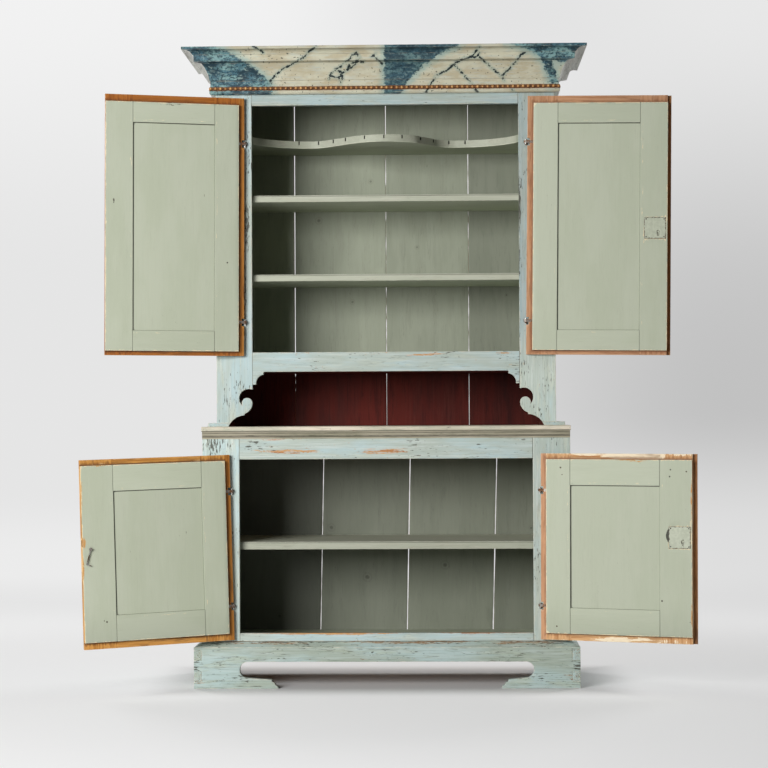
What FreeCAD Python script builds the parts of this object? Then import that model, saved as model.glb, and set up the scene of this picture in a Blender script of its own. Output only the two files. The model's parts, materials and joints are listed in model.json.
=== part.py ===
import FreeCAD, Part
import math
import os
import Sketcher
from FreeCAD import Rotation, Vector

# A painted pine cupboard in two halves: lipped doors above an open niche and a
# wider case with lipped doors, on a dovetailed plinth, under a marbled cornice.
# X runs to the right, Y to the back, Z up, millimetres, floor at Z = 0.
# Lengths below are counted from the centre line, the face of the upper frame
# and the floor; every piece is then moved by mid_x and mid_y so the frame sits
# under the middle of the cupboard with its doors open.

doc = FreeCAD.newDocument("kas_cupboard")
sheet = doc.addObject("Spreadsheet::Sheet", "Dims")

SIZES = [
    # upper case
    ("upper_open_w", 880, "upper door opening, width"),
    ("upper_open_h", 815, "upper door opening, height"),
    ("upper_stile_w", 118, "upper frame stile, width"),
    ("frame_t", 22, "thickness of both face frames"),
    ("side_t", 22, "thickness of the side boards"),
    ("upper_depth", 380, "upper frame face to the back boards"),
    ("back_t", 14, "thickness of the back boards"),
    ("board_t", 20, "thickness of top and floor boards"),
    ("top_rail_h", 149, "upper top rail, height"),
    ("apron_h", 64, "rail between upper doors and niche, height"),
    ("niche_h", 180, "open niche, height"),
    ("shoe_t", 12, "runner under each upper side, height"),
    ("shoe_out", 29, "runner, overhang past the upper case"),
    ("ceiling_up", 52, "upper ceiling above the door opening"),
    ("board_gap", 3.2, "shrinkage gap between back boards"),
    # shelves
    ("shelf_t", 22, "shelf thickness"),
    ("shelf_back_set", 2, "shelf front behind the frame"),
    ("spoon_top", 95, "spoon shelf top below the opening's top"),
    ("spoon_t", 24, "spoon shelf thickness"),
    ("scallop", 174, "depth of the scallops in the spoon shelf"),
    ("scallop_r", 152, "radius of the round nose between the scallops"),
    ("scallop_hide", 12, "scallop's start behind the frame stile"),
    ("spoon_notch_w", 3.5, "spoon notch width"),
    ("mid_shelf_top", 520, "middle shelf top above the opening's foot"),
    ("low_shelf_top", 258, "lower shelf top above the opening's foot"),
    # cornice
    ("cornice_out", 102, "cornice projection"),
    ("cornice_h", 145, "cornice height"),
    ("cornice_up", 35, "cornice foot above the door opening"),
    ("bead_d", 14, "gilt bead diameter"),
    # lower case
    ("lower_step", 57, "lower frame face in front of the upper one"),
    ("lower_open_w", 958, "lower door opening, width"),
    ("lower_open_h", 567, "lower door opening, height"),
    ("lower_stile_w", 121, "lower frame stile, width"),
    ("bottom_rail_h", 26, "lower frame bottom rail, height"),
    ("lower_top_rail_h", 91, "lower frame top rail, height"),
    ("waist_t", 16, "waist board thickness"),
    ("waist_out", 10, "waist board overhang at the front"),
    ("waist_mould_h", 24, "waist moulding height"),
    ("base_shelf_top", 296, "lower case shelf top above the opening's foot"),
    ("base_shelf_set", 9, "lower case shelf front behind the frame"),
    ("floor_drop", 6, "lower case floor below the plinth's top"),
    # plinth
    ("plinth_h", 152, "plinth height"),
    ("plinth_t", 25, "plinth board thickness"),
    ("plinth_out", 20, "plinth front in front of the lower frame"),
    ("plinth_side_out", 28, "plinth side outside the lower case"),
    ("splay_h", 18, "height of the plinth's splayed top"),
    ("slot_w", 956, "plinth slot, width between its round ends"),
    ("slot_top", 87, "plinth slot, top above the floor"),
    ("slot_foot", 35, "plinth slot, lower lip above the floor"),
    ("foot_gap", 704, "clear width between the toes, were both whole"),
    ("toe_short", 21, "right toe, worn shorter than the left"),
    # doors
    ("lip_t", 12, "door lip thickness"),
    ("field_t", 12, "door thickness that enters the opening"),
    ("door_play", 2.5, "play between door and opening"),
    ("lip_edge", 4, "door lip edge to the hinge axis"),
    ("axis_out", 21.5, "hinge axis outside the opening's edge"),
    ("axis_front", 8, "hinge axis in front of the frame face"),
    ("lip_gap", 0.5, "air between door lip and frame"),
    ("upper_lip_top", 22, "upper door lip above the opening"),
    ("upper_lip_foot", 12, "upper door lip below the opening"),
    ("lower_lip_top", 16, "lower door lip above the opening"),
    ("lower_lip_foot", 20, "lower door lip below the opening"),
    ("door_stile_w", 80, "door stile in the field, width"),
    ("door_free_w", 89, "upper door stile at the free edge, width"),
    ("lower_free_w", 104, "lower door stile at the free edge, width"),
    ("upper_rail_w", 66, "upper door rails, width"),
    ("lower_rail_w", 83, "lower door rails, width"),
    ("panel_t", 8, "door panel thickness at its tongue"),
    ("tongue", 8, "panel tongue in its groove"),
    ("panel_set", 3, "panel face below the stiles, inside"),
    ("panel_margin", 38, "flat margin round the raised field"),
    ("panel_rise", 5, "raised field on the show side, height"),
    ("astragal_w", 25, "cover strip on the right doors, width"),
    ("astragal_t", 6, "cover strip on the right doors, thickness"),
    # doors as they stand open, degrees from closed, and the lean of each axis
    ("swing_ul", 164.9, "upper left door"),
    ("swing_ur", 176.8, "upper right door"),
    ("swing_ll", 158.0, "lower left door"),
    ("swing_lr", 163.0, "lower right door"),
    ("lean_ul", -0.15, "upper left hinge line, top leans outwards"),
    ("lean_ur", 0.35, "upper right hinge line"),
    ("lean_ll", 0.72, "lower left hinge line"),
    ("lean_lr", 0.12, "lower right hinge line"),
    # iron
    ("pin_d", 6, "hinge pin diameter"),
    ("pin_play", 0.06, "hinge pin, radial running clearance"),
    ("eye_d", 13, "hinge eye, outer diameter"),
    ("eye_h", 9, "hinge eye, height"),
    ("upper_hinge_up", 99, "lower hinge above the upper opening's foot"),
    ("base_hinge_up", 90, "lower hinge above the lower opening's foot"),
    ("upper_hinge_pitch", 588, "upper hinges, one above the other"),
    ("lower_hinge_pitch", 374, "lower hinges, one above the other"),
    ("lock_w", 70, "lock plate, width and height"),
    ("lock_t", 1.6, "lock plate thickness"),
    ("upper_lock_up", 402, "upper lock above the opening's foot"),
    ("base_lock_up", 318, "lower lock above the opening's foot"),
    ("bolt_w", 19, "lock bolt, height"),
    ("bolt_t", 7, "lock bolt, thickness"),
    ("hook_len", 52, "hook length from its eye"),
    ("hook_tip", 15, "hook tip, from the shank's middle"),
    ("hook_lean", 16, "hook at rest, degrees from upright"),
    ("hook_up", 300, "hook's eye above the lower opening's foot"),
    ("hook_in", 25.5, "hook's eye from the door's free edge"),
    ("staple_d", 4, "hook staple diameter"),
]


class Size:
    # a length as the text the sheet reads and as its present value
    def __init__(self, text, value):
        self.text = text
        self.value = value

    def __add__(self, other):
        other = size(other)
        return Size("(%s + %s)" % (self.text, other.text), self.value + other.value)

    def __sub__(self, other):
        other = size(other)
        return Size("(%s - %s)" % (self.text, other.text), self.value - other.value)

    def __mul__(self, other):
        other = size(other)
        return Size("(%s * %s)" % (self.text, other.text), self.value * other.value)

    def __truediv__(self, other):
        other = size(other)
        return Size("(%s / %s)" % (self.text, other.text), self.value / other.value)

    def __radd__(self, other):
        return size(other) + self

    def __rsub__(self, other):
        return size(other) - self

    def __rmul__(self, other):
        return size(other) * self

    def __neg__(self):
        return size(0) - self


def size(value):
    if isinstance(value, Size):
        return value
    return Size("%.6g" % value, float(value))


def sine(angle):
    return Size("sin(%s * 1 deg)" % angle.text, math.sin(math.radians(angle.value)))


def cosine(angle):
    return Size("cos(%s * 1 deg)" % angle.text, math.cos(math.radians(angle.value)))


dims = {}
for row, (alias, value, note) in enumerate(SIZES, start=1):
    sheet.set("A%d" % row, note)
    sheet.set("B%d" % row, str(value))
    sheet.setAlias("B%d" % row, alias)
    dims[alias] = Size("Dims." + alias, float(value))
doc.recompute()


def d(alias):
    return dims[alias]


def derive(alias, amount, note):
    # a size that follows from the others, kept in the sheet under its own name
    row = len(dims) + 1
    sheet.set("A%d" % row, note)
    sheet.set("B%d" % row, "=" + amount.text.replace("Dims.", ""))
    sheet.setAlias("B%d" % row, alias)
    dims[alias] = Size("Dims." + alias, amount.value)
    return dims[alias]


# heights and half widths that the pieces share
upper_half = derive("upper_half", d("upper_open_w") / 2 + d("upper_stile_w"), "half upper case")
lower_half = derive("lower_half", d("lower_open_w") / 2 + d("lower_stile_w"), "half lower case")
upper_side_x = derive("upper_side_x", upper_half - d("side_t"), "inside of an upper side")
lower_side_x = derive("lower_side_x", lower_half - d("side_t"), "inside of a lower side")
lower_y = derive("lower_y", -d("lower_step"), "lower frame face")
z_base_open = derive("z_base_open", d("plinth_h") + d("bottom_rail_h"), "lower opening foot")
z_base_top = derive("z_base_top", z_base_open + d("lower_open_h"), "lower opening top")
z_waist_under = derive("z_waist_under", z_base_top + d("lower_top_rail_h"), "waist board underside")
z_waist = derive("z_waist", z_waist_under + d("waist_t"), "waist board top")
z_apron = derive("z_apron", z_waist + d("niche_h"), "niche ceiling")
z_open = derive("z_open", z_apron + d("apron_h"), "upper opening foot")
z_head = derive("z_head", z_open + d("upper_open_h"), "upper opening top")
z_case_top = derive("z_case_top", z_head + d("top_rail_h"), "upper case top")
z_cornice = derive("z_cornice", z_head + d("cornice_up"), "cornice foot")
z_floor = derive("z_floor", d("plinth_h") - d("floor_drop"), "lower case floor")
back_y = derive("back_y", d("upper_depth") + d("back_t"), "outside of the back boards")
upper_reach = derive("upper_reach", d("upper_open_w") / 2 + d("axis_out") - 0.5, "upper axis to free edge")
lower_reach = derive("lower_reach", d("lower_open_w") / 2 + d("axis_out") - 0.5, "lower axis to free edge")
door_back = derive("door_back", d("axis_front") - d("lip_gap") + d("field_t"), "axis to a door's inner face")
door_front = derive("door_front", d("lip_t") - d("axis_front") + d("lip_gap"), "axis to a door's outer face")
foot_left = lower_reach * cosine(d("swing_ll")) - door_front * sine(d("swing_ll"))
foot_right = (lower_reach + d("astragal_w") / 2) * cosine(d("swing_lr"))
axis_x = d("lower_open_w") / 2 + d("axis_out")
derive("mid_x", (foot_left - foot_right) / 2, "middle of the open cupboard, across")
reach_y = lower_reach * sine(d("swing_ll")) - door_back * cosine(d("swing_ll"))
derive("mid_y", (back_y + lower_y - d("axis_front") - reach_y) / 2, "middle, front to back")
doc.recompute()

nodes = {}


def bind(obj, path, amount):
    # tie one property to the sheet and give it its present value
    amount = size(amount)
    obj.setExpression(path, amount.text)


def place(obj, x, y, z):
    obj.Placement.Base = Vector(size(x).value, size(y).value, size(z).value)
    bind(obj, "Placement.Base.x", x)
    bind(obj, "Placement.Base.y", y)
    bind(obj, "Placement.Base.z", z)


def settle(obj, x=0, y=0, z=0):
    # natural coordinates moved under the middle of the open cupboard
    place(obj, size(x) - d("mid_x"), size(y) - d("mid_y"), z)


def node(name, obj):
    obj.Label = name
    nodes[name] = obj
    return obj


def box(name, x0, x1, y0, y1, z0, z1):
    # a plain block between two corners, in its parent's coordinates
    block = doc.addObject("Part::Box", name)
    x0, x1, y0, y1, z0, z1 = [size(v) for v in (x0, x1, y0, y1, z0, z1)]
    bind(block, "Length", x1 - x0)
    bind(block, "Width", y1 - y0)
    bind(block, "Height", z1 - z0)
    place(block, x0, y0, z0)
    return block


def board(name, x0, x1, y0, y1, z0, z1):
    # a plain board that is a piece of its own
    block = box(name, x0, x1, y0, y1, z0, z1)
    settle(block, x0, y0, z0)
    return node(name, block)


def gather(kind, name, members):
    # fuse, cut, common or compound of earlier features
    group = doc.addObject(kind, name)
    if kind == "Part::Cut":
        group.Base, group.Tool = members
    elif kind == "Part::Compound":
        group.Links = members
    else:
        group.Shapes = members
    return group


def rod(name, diameter, length, at, direction, tilt=None):
    # a round bar from a point along a direction, tilted about Y by an angle
    bar = doc.addObject("Part::Cylinder", name)
    bind(bar, "Radius", size(diameter) / 2)
    bind(bar, "Height", length)
    place(bar, *at)
    turns = {"x": Rotation(Vector(0, 1, 0), 90), "y": Rotation(Vector(1, 0, 0), -90), "z": Rotation()}
    bar.Placement.Rotation = turns[direction]
    if tilt is not None:
        bar.Placement.Rotation = Rotation(Vector(0, 1, 0), tilt.value)
        bind(bar, "Placement.Rotation.Angle", tilt)
    return bar


def arc_between(start, end, radius, side, large):
    # side "left" keeps the centre to the left of the way from start to end
    chord = end - start
    half = chord.Length / 2
    rise = math.sqrt(max(radius * radius - half * half, 0.0))
    left = Vector(-chord.y, chord.x, 0).normalize()
    toward = 1 if side == "left" else -1
    if large:
        toward = -toward
    centre = start + chord * 0.5 + left * (rise * toward)
    circle = Part.Circle(centre, Vector(0, 0, 1), radius)
    a0 = math.atan2(start.y - centre.y, start.x - centre.x)
    a1 = math.atan2(end.y - centre.y, end.x - centre.x)
    if side == "left":
        return Part.ArcOfCircle(circle, a0, a1), 1, 2
    return Part.ArcOfCircle(circle, a1, a0), 2, 1


def outline(sketch, path):
    # A closed outline. Each entry is (x, y) for a corner followed by a straight
    # run, or (x, y, radius, side, large) for a corner followed by an arc.
    ends = []
    total = len(path)
    for i, step in enumerate(path):
        here = Vector(size(step[0]).value, size(step[1]).value, 0)
        after = path[(i + 1) % total]
        there = Vector(size(after[0]).value, size(after[1]).value, 0)
        if len(step) == 2:
            geo = sketch.addGeometry(Part.LineSegment(here, there), False)
            ends.append((geo, 1, 2))
        else:
            large = len(step) > 4 and step[4]
            arc, first, last = arc_between(here, there, size(step[2]).value, step[3], large)
            geo = sketch.addGeometry(arc, False)
            ends.append((geo, first, last))
    base = ends[0][0]
    for i in range(total):
        geo, first, last = ends[i]
        following = ends[(i + 1) % total]
        sketch.addConstraint(Sketcher.Constraint("Coincident", geo, last, following[0], following[1]))
    for i, step in enumerate(path):
        geo, first, last = ends[i]
        for letter, kind, amount, axis in (("x", "DistanceX", step[0], -2), ("y", "DistanceY", step[1], -1)):
            amount = size(amount)
            if amount.text == "0":
                sketch.addConstraint(Sketcher.Constraint("PointOnObject", geo, first, axis))
                continue
            at = sketch.addConstraint(Sketcher.Constraint(kind, -1, 1, geo, first, amount.value))
            name = "%s%d_%d" % (letter, base, i)
            sketch.renameConstraint(at, name)
            sketch.setExpression("Constraints." + name, amount.text)
        if len(step) > 2:
            radius = size(step[2])
            at = sketch.addConstraint(Sketcher.Constraint("Radius", geo, radius.value))
            name = "r%d_%d" % (base, i)
            sketch.renameConstraint(at, name)
            sketch.setExpression("Constraints." + name, radius.text)


def plane_of(body, role):
    for feature in body.Origin.OriginFeatures:
        if feature.Role == role:
            return feature
    return None


def new_sketch(body, name, role):
    sketch = body.newObject("Sketcher::SketchObject", name)
    sketch.AttachmentSupport = (plane_of(body, role), "")
    sketch.MapMode = "FlatFace"
    return sketch


def sawn(name, role, path, thickness, reverse=False):
    # a board sawn to an outline: one sketch and one pad
    body = doc.addObject("PartDesign::Body", name)
    sketch = new_sketch(body, name + "_outline", role)
    outline(sketch, path)
    pad = body.newObject("PartDesign::Pad", name + "_pad")
    pad.Profile = sketch
    bind(pad, "Length", thickness)
    pad.Reversed = reverse
    body.Tip = pad
    sketch.Visibility = False
    return body


def pocket(body, name, role, paths, depth, reverse=False, through=False):
    sketch = new_sketch(body, name + "_outline", role)
    for path in paths:
        outline(sketch, path)
    cut = body.newObject("PartDesign::Pocket", name)
    cut.Profile = sketch
    if through:
        cut.Type = "ThroughAll"
        cut.Midplane = True
    else:
        bind(cut, "Length", depth)
    cut.Reversed = reverse
    body.Tip = cut
    sketch.Visibility = False
    return cut


def mirrored(path, width):
    # the same outline for the other hand: x becomes width - x
    other = {"left": "right", "right": "left"}
    turned = []
    for step in path:
        x = size(width) - size(step[0])
        if len(step) == 2:
            turned.append((x, step[1]))
        else:
            turned.append((x, step[1], step[2], other[step[3]]) + tuple(step[4:]))
    return turned


# ---------------------------------------------------------------- upper case
def upper_case():
    depth = d("upper_depth")
    frame = d("frame_t")
    foot = z_waist + d("shoe_t")
    for side, sign in (("left", -1), ("right", 1)):
        inner = upper_side_x * sign
        outer = upper_half * sign
        lo, hi = (outer, inner) if sign < 0 else (inner, outer)
        board("upper_side_" + side, lo, hi, frame, depth, foot, z_case_top)
    inside = upper_side_x
    z0 = z_head + d("ceiling_up")
    board("upper_top_board", -inside, inside, frame, depth, z0, z0 + d("board_t"))
    board("upper_floor_board", -inside, inside, frame, depth, z_apron, z_apron + d("board_t"))
    front = frame + d("shelf_back_set")
    for name, key in (("upper_shelf_middle", "mid_shelf_top"), ("upper_shelf_lower", "low_shelf_top")):
        top = z_open + d(key)
        board(name, -inside, inside, front, depth, top - d("shelf_t"), top)
    open_half = d("upper_open_w") / 2
    board("upper_top_rail", -open_half, open_half, 0, frame, z_head, z_case_top)
    # boards of the back, with the gaps of two centuries of shrinkage
    cuts = (-0.291, -0.007, 0.249)
    edges = [-upper_half]
    for part in cuts:
        middle = upper_half * (2 * part)
        edges.append(middle - d("board_gap") / 2)
        edges.append(middle + d("board_gap") / 2)
    edges.append(upper_half)
    for i in range(4):
        board("upper_back_board_%d" % (i + 1), edges[2 * i], edges[2 * i + 1], depth, back_y, z_waist, z_case_top)


def scroll_cut():
    # The stile runs past the niche, where it is sawn to a hooked volute.
    # x counts from the outer edge of the left stile, y from its foot.
    n = d("niche_h") / 180
    w = d("upper_stile_w")
    shoe = d("shoe_t")

    def at(u, v):
        return w - n * u, n * v - shoe

    top = z_case_top - z_waist - shoe
    foot_run = w - n * 73
    arc_foot = (foot_run, 0)
    return [
        (0, 0),
        arc_foot + (n * 58, "right"),
        at(27, 37),
        at(27, 42) + (n * 38, "left"),
        at(0.7, 77) + (n * 17.3, "left", True),
        at(33.5, 69.5) + (n * 31, "right"),
        at(4, 122.5),
        at(0, 122.5),
        (w, top),
        (0, top),
    ]


def upper_stiles():
    w = d("upper_stile_w")
    foot = z_waist + d("shoe_t")
    path = scroll_cut()
    for side in ("left", "right"):
        shape = path if side == "left" else mirrored(path, w)
        body = sawn("upper_stile_" + side, "XZ_Plane", shape, d("frame_t"), reverse=True)
        x = -upper_half if side == "left" else d("upper_open_w") / 2
        settle(body, x, 0, foot)
        node("upper_stile_" + side, body)


def apron_rail():
    # the rail over the niche, with a bracket ear at each end
    n = d("niche_h") / 180
    w = d("upper_open_w")
    ear = n * 42
    step = n * 9
    out = n * 37
    height = ear + d("apron_h")
    path = [
        (0, 0),
        (n * 12, 0),
        (n * 12, n * 4, n * 29, "right"),
        (out, ear - step),
        (out, ear),
        (w - out, ear),
        (w - out, ear - step, n * 29, "right"),
        (w - n * 12, n * 4),
        (w - n * 12, 0),
        (w, 0),
        (w, height),
        (0, height),
    ]
    body = sawn("apron_rail", "XZ_Plane", path, d("frame_t"), reverse=True)
    settle(body, -w / 2, 0, z_apron - ear)
    node("apron_rail", body)


def shoes():
    # one runner under each side of the upper case
    n = d("niche_h") / 180
    shoe = d("shoe_t")
    bevel = n * 6
    width = d("shoe_out") + d("upper_stile_w") - n * 73
    path = [
        (0, 0),
        (width - bevel, 0),
        (width, shoe),
        (0, shoe),
    ]
    pair = []
    for side in ("left", "right"):
        shape = path if side == "left" else mirrored(path, width)
        body = sawn("shoe_" + side, "XZ_Plane", shape, d("upper_depth") + 6, reverse=True)
        x = -(upper_half + d("shoe_out")) if side == "left" else upper_half + d("shoe_out") - width
        place(body, x, -6, z_waist)
        pair.append(body)
    both = gather("Part::Compound", "upper_shoes", pair)
    settle(both)
    node("upper_shoes", both)


def spoon_shelf():
    # plan of the shelf: flat at the back, two scallops in front, a notch per spoon
    w = upper_side_x * 2
    half = upper_side_x
    s = d("upper_open_w") / 880
    k = d("scallop") / 174
    deep = d("upper_depth") - d("frame_t") - d("shelf_back_set")

    def at(x, y):
        return half + s * x, k * (y - 24)

    start = d("upper_open_w") / 2 + d("scallop_hide")
    round_out = s * d("scallop_r")
    path = [
        (0, 0),
        (half - start, 0, s * 212, "right"),
        at(-255, 190) + (s * 75, "right"),
        at(-200, 165),
        at(-110, 70) + (round_out, "left"),
        at(104, 66),
        at(164, 156) + (s * 75, "right"),
        at(246, 197) + (s * 212, "right"),
        (half + start, 0),
        (w, 0),
        (w, deep),
        (0, deep),
    ]
    body = sawn("spoon_shelf", "XY_Plane", path, d("spoon_t"))
    notches = []
    spoons = [
        (-295, 184), (-229, 185), (-177, 141), (-134, 95), (-68, 46), (-3, 27),
        (57, 37), (118, 88), (160, 150), (212, 192), (267, 194),
    ]
    for x, y in spoons:
        cx, cy = at(x, y)
        r = d("spoon_notch_w") / 2
        notches.append([(cx - r, cy - 16), (cx + r, cy - 16), (cx + r, cy + 12), (cx - r, cy + 12)])
    sketch = new_sketch(body, "spoon_notches_outline", "XY_Plane")
    sketch.AttachmentOffset = FreeCAD.Placement(Vector(0, 0, d("spoon_t").value), Rotation())
    bind(sketch, "AttachmentOffset.Base.z", d("spoon_t"))
    for path in notches:
        outline(sketch, path)
    cut = body.newObject("PartDesign::Pocket", "spoon_notches")
    cut.Profile = sketch
    bind(cut, "Length", d("spoon_t") / 2)
    body.Tip = cut
    top = z_head - d("spoon_top")
    settle(body, -half, d("frame_t") + d("shelf_back_set"), top - d("spoon_t"))
    node("spoon_shelf", body)


# ------------------------------------------------------------------- cornice
def cornice_profile():
    # x counts back from the cornice's outermost edge, y up from its foot
    out = d("cornice_out")
    h = d("cornice_h") / 145
    bead = d("bead_d")
    bead_foot = h * 11

    def at(p, z):
        return out - p, h * z

    flat = at(15.5, 0)[0]
    return [
        (out, 0),
        at(15.5, 0),
        at(19, 4),
        (at(19, 0)[0], bead_foot),
        (flat, bead_foot),
        (flat, bead_foot + bead + h * 1),
        (flat, h * 44),
        at(18.5, 46) + (h * 96, "left"),
        at(42, 99),
        at(65, 102),
        at(66, 123),
        at(69, 123) + (h * 24, "left"),
        at(97, 136),
        at(102, 136),
        at(102, 145),
        (out, h * 145),
    ]


def cornice():
    # three mitred lengths of one moulding, planed from the same profile
    out = d("cornice_out")
    profile = cornice_profile()
    long = upper_half * 2 + out * 2
    front = sawn("cornice_front", "YZ_Plane", profile, long)
    mitre_left = [(0, 0), (out, out), (0, out)]
    mitre_right = [(long, 0), (long, out), (long - out, out)]
    pocket(front, "cornice_front_mitres", "XY_Plane", [mitre_left, mitre_right], 0, through=True)
    settle(front, -upper_half - out, -out, z_cornice)
    node("cornice_front", front)
    run = back_y + out
    for side in ("left", "right"):
        path = profile if side == "left" else mirrored(profile, out)
        body = sawn("cornice_" + side, "XZ_Plane", path, run, reverse=True)
        mitre = [(0, 0), (out, 0), (out, out)]
        if side == "right":
            mitre = [(out, 0), (0, 0), (0, out)]
        pocket(body, "cornice_%s_mitre" % side, "XY_Plane", [mitre], 0, through=True)
        x = -upper_half - out if side == "left" else upper_half
        settle(body, x, -out, z_cornice)
        node("cornice_" + side, body)


def bead_string():
    # the rods the gilt beads are turned on, mitred at the corners
    out = size(15.5)
    r = d("bead_d") / 2
    grow = r + out
    long = upper_half * 2 + grow * 2
    centre = d("cornice_h") / 145 * 12 + r
    half_round = [
        (r, 0, r, "right"),
        (0, r, r, "right"),
        (r, r * 2),
    ]
    front = sawn("beads_front", "YZ_Plane", half_round, long)
    left_cut = [(0, 0), (grow, grow), (0, grow)]
    right_cut = [(long, 0), (long, grow), (long - grow, grow)]
    pocket(front, "beads_front_mitres", "XY_Plane", [left_cut, right_cut], 0, through=True)
    place(front, -upper_half - grow, -grow, z_cornice + centre - r)
    run = back_y + grow
    strings = [front]
    for side in ("left", "right"):
        path = half_round if side == "left" else mirrored(half_round, r)
        body = sawn("beads_" + side, "XZ_Plane", path, run, reverse=True)
        cut = [(0, 0), (r, 0), (r, r)]
        if side == "right":
            cut = [(r, 0), (0, 0), (0, r)]
        pocket(body, "beads_%s_mitre" % side, "XY_Plane", [cut], 0, through=True)
        x = -upper_half - grow if side == "left" else upper_half + out
        place(body, x, -grow, z_cornice + centre - r)
        strings.append(body)
    both = gather("Part::Compound", "bead_string", strings)
    settle(both)
    node("bead_string", both)


# ---------------------------------------------------------------- lower case
def lower_case():
    depth = d("upper_depth")
    back_of_frame = lower_y + d("frame_t")
    floor = z_floor - d("board_t")
    for side, sign in (("left", -1), ("right", 1)):
        lo, hi = (-lower_half, -lower_side_x) if sign < 0 else (lower_side_x, lower_half)
        board("lower_side_" + side, lo, hi, back_of_frame, depth, floor, z_waist_under)
        inner = d("lower_open_w") / 2
        a, b = (-lower_half, -inner) if sign < 0 else (inner, lower_half)
        board("lower_stile_" + side, a, b, lower_y, back_of_frame, d("plinth_h"), z_waist_under)
    inside = lower_side_x
    board("lower_floor_board", -inside, inside, back_of_frame, depth, floor, z_floor)
    top = z_base_open + d("base_shelf_top")
    front = back_of_frame + d("base_shelf_set")
    board("lower_shelf", -inside, inside, front, depth, top - d("shelf_t") - 3, top)
    w = d("lower_open_w") / 2
    board("lower_top_rail", -w, w, lower_y, back_of_frame, z_base_top, z_waist_under)
    board("lower_bottom_rail", -w, w, lower_y, back_of_frame, d("plinth_h"), z_base_open)
    # four tapering back boards
    z0 = floor
    height = z_waist_under - floor
    full = lower_half * 2
    gap = d("board_gap") + 1
    top_cuts = (-0.188, 0.062, 0.3125)
    foot_cuts = (-0.201, 0.049, 0.2965)
    for i in range(4):
        left_foot = size(0) if i == 0 else full * (0.5 + foot_cuts[i - 1]) + gap / 2
        left_top = size(0) if i == 0 else full * (0.5 + top_cuts[i - 1]) + gap / 2
        right_foot = full if i == 3 else full * (0.5 + foot_cuts[i]) - gap / 2
        right_top = full if i == 3 else full * (0.5 + top_cuts[i]) - gap / 2
        path = [(left_foot, 0), (right_foot, 0), (right_top, height), (left_top, height)]
        body = sawn("lower_back_board_%d" % (i + 1), "XZ_Plane", path, d("back_t"), reverse=True)
        settle(body, -lower_half, depth, z0)
        node("lower_back_board_%d" % (i + 1), body)


def waist():
    # the board the upper case stands on, and the moulding under its nose
    out = d("waist_out")
    t = d("waist_t")
    deep = back_y - lower_y + out
    nose = [
        (0, t * 0.3),
        (0, t * 0.7, t * 0.3, "right"),
        (t * 0.3, t),
        (deep, t),
        (deep, 0),
        (t * 0.3, 0, t * 0.3, "right"),
    ]
    body = sawn("waist_board", "YZ_Plane", nose, lower_half * 2 + 4)
    settle(body, -lower_half - 2, lower_y - out, z_waist_under)
    node("waist_board", body)
    h = d("waist_mould_h") / 24
    wide = d("waist_out") / 10
    profile = [
        (wide * 1, h * 18.5),
        (wide * 1, h * 24),
        (wide * 8, h * 24),
        (wide * 8, 0),
        (wide * 5, 0),
        (wide * 5, h * 4, h * 4, "left"),
        (wide * 3, h * 8),
        (wide * 3, h * 9.5, h * 5.4, "right"),
        (wide * 3, h * 18.5),
    ]
    strip = sawn("waist_moulding", "YZ_Plane", profile, lower_half * 2)
    settle(strip, -lower_half, lower_y - wide * 8, z_waist_under - h * 24)
    node("waist_moulding", strip)


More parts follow.
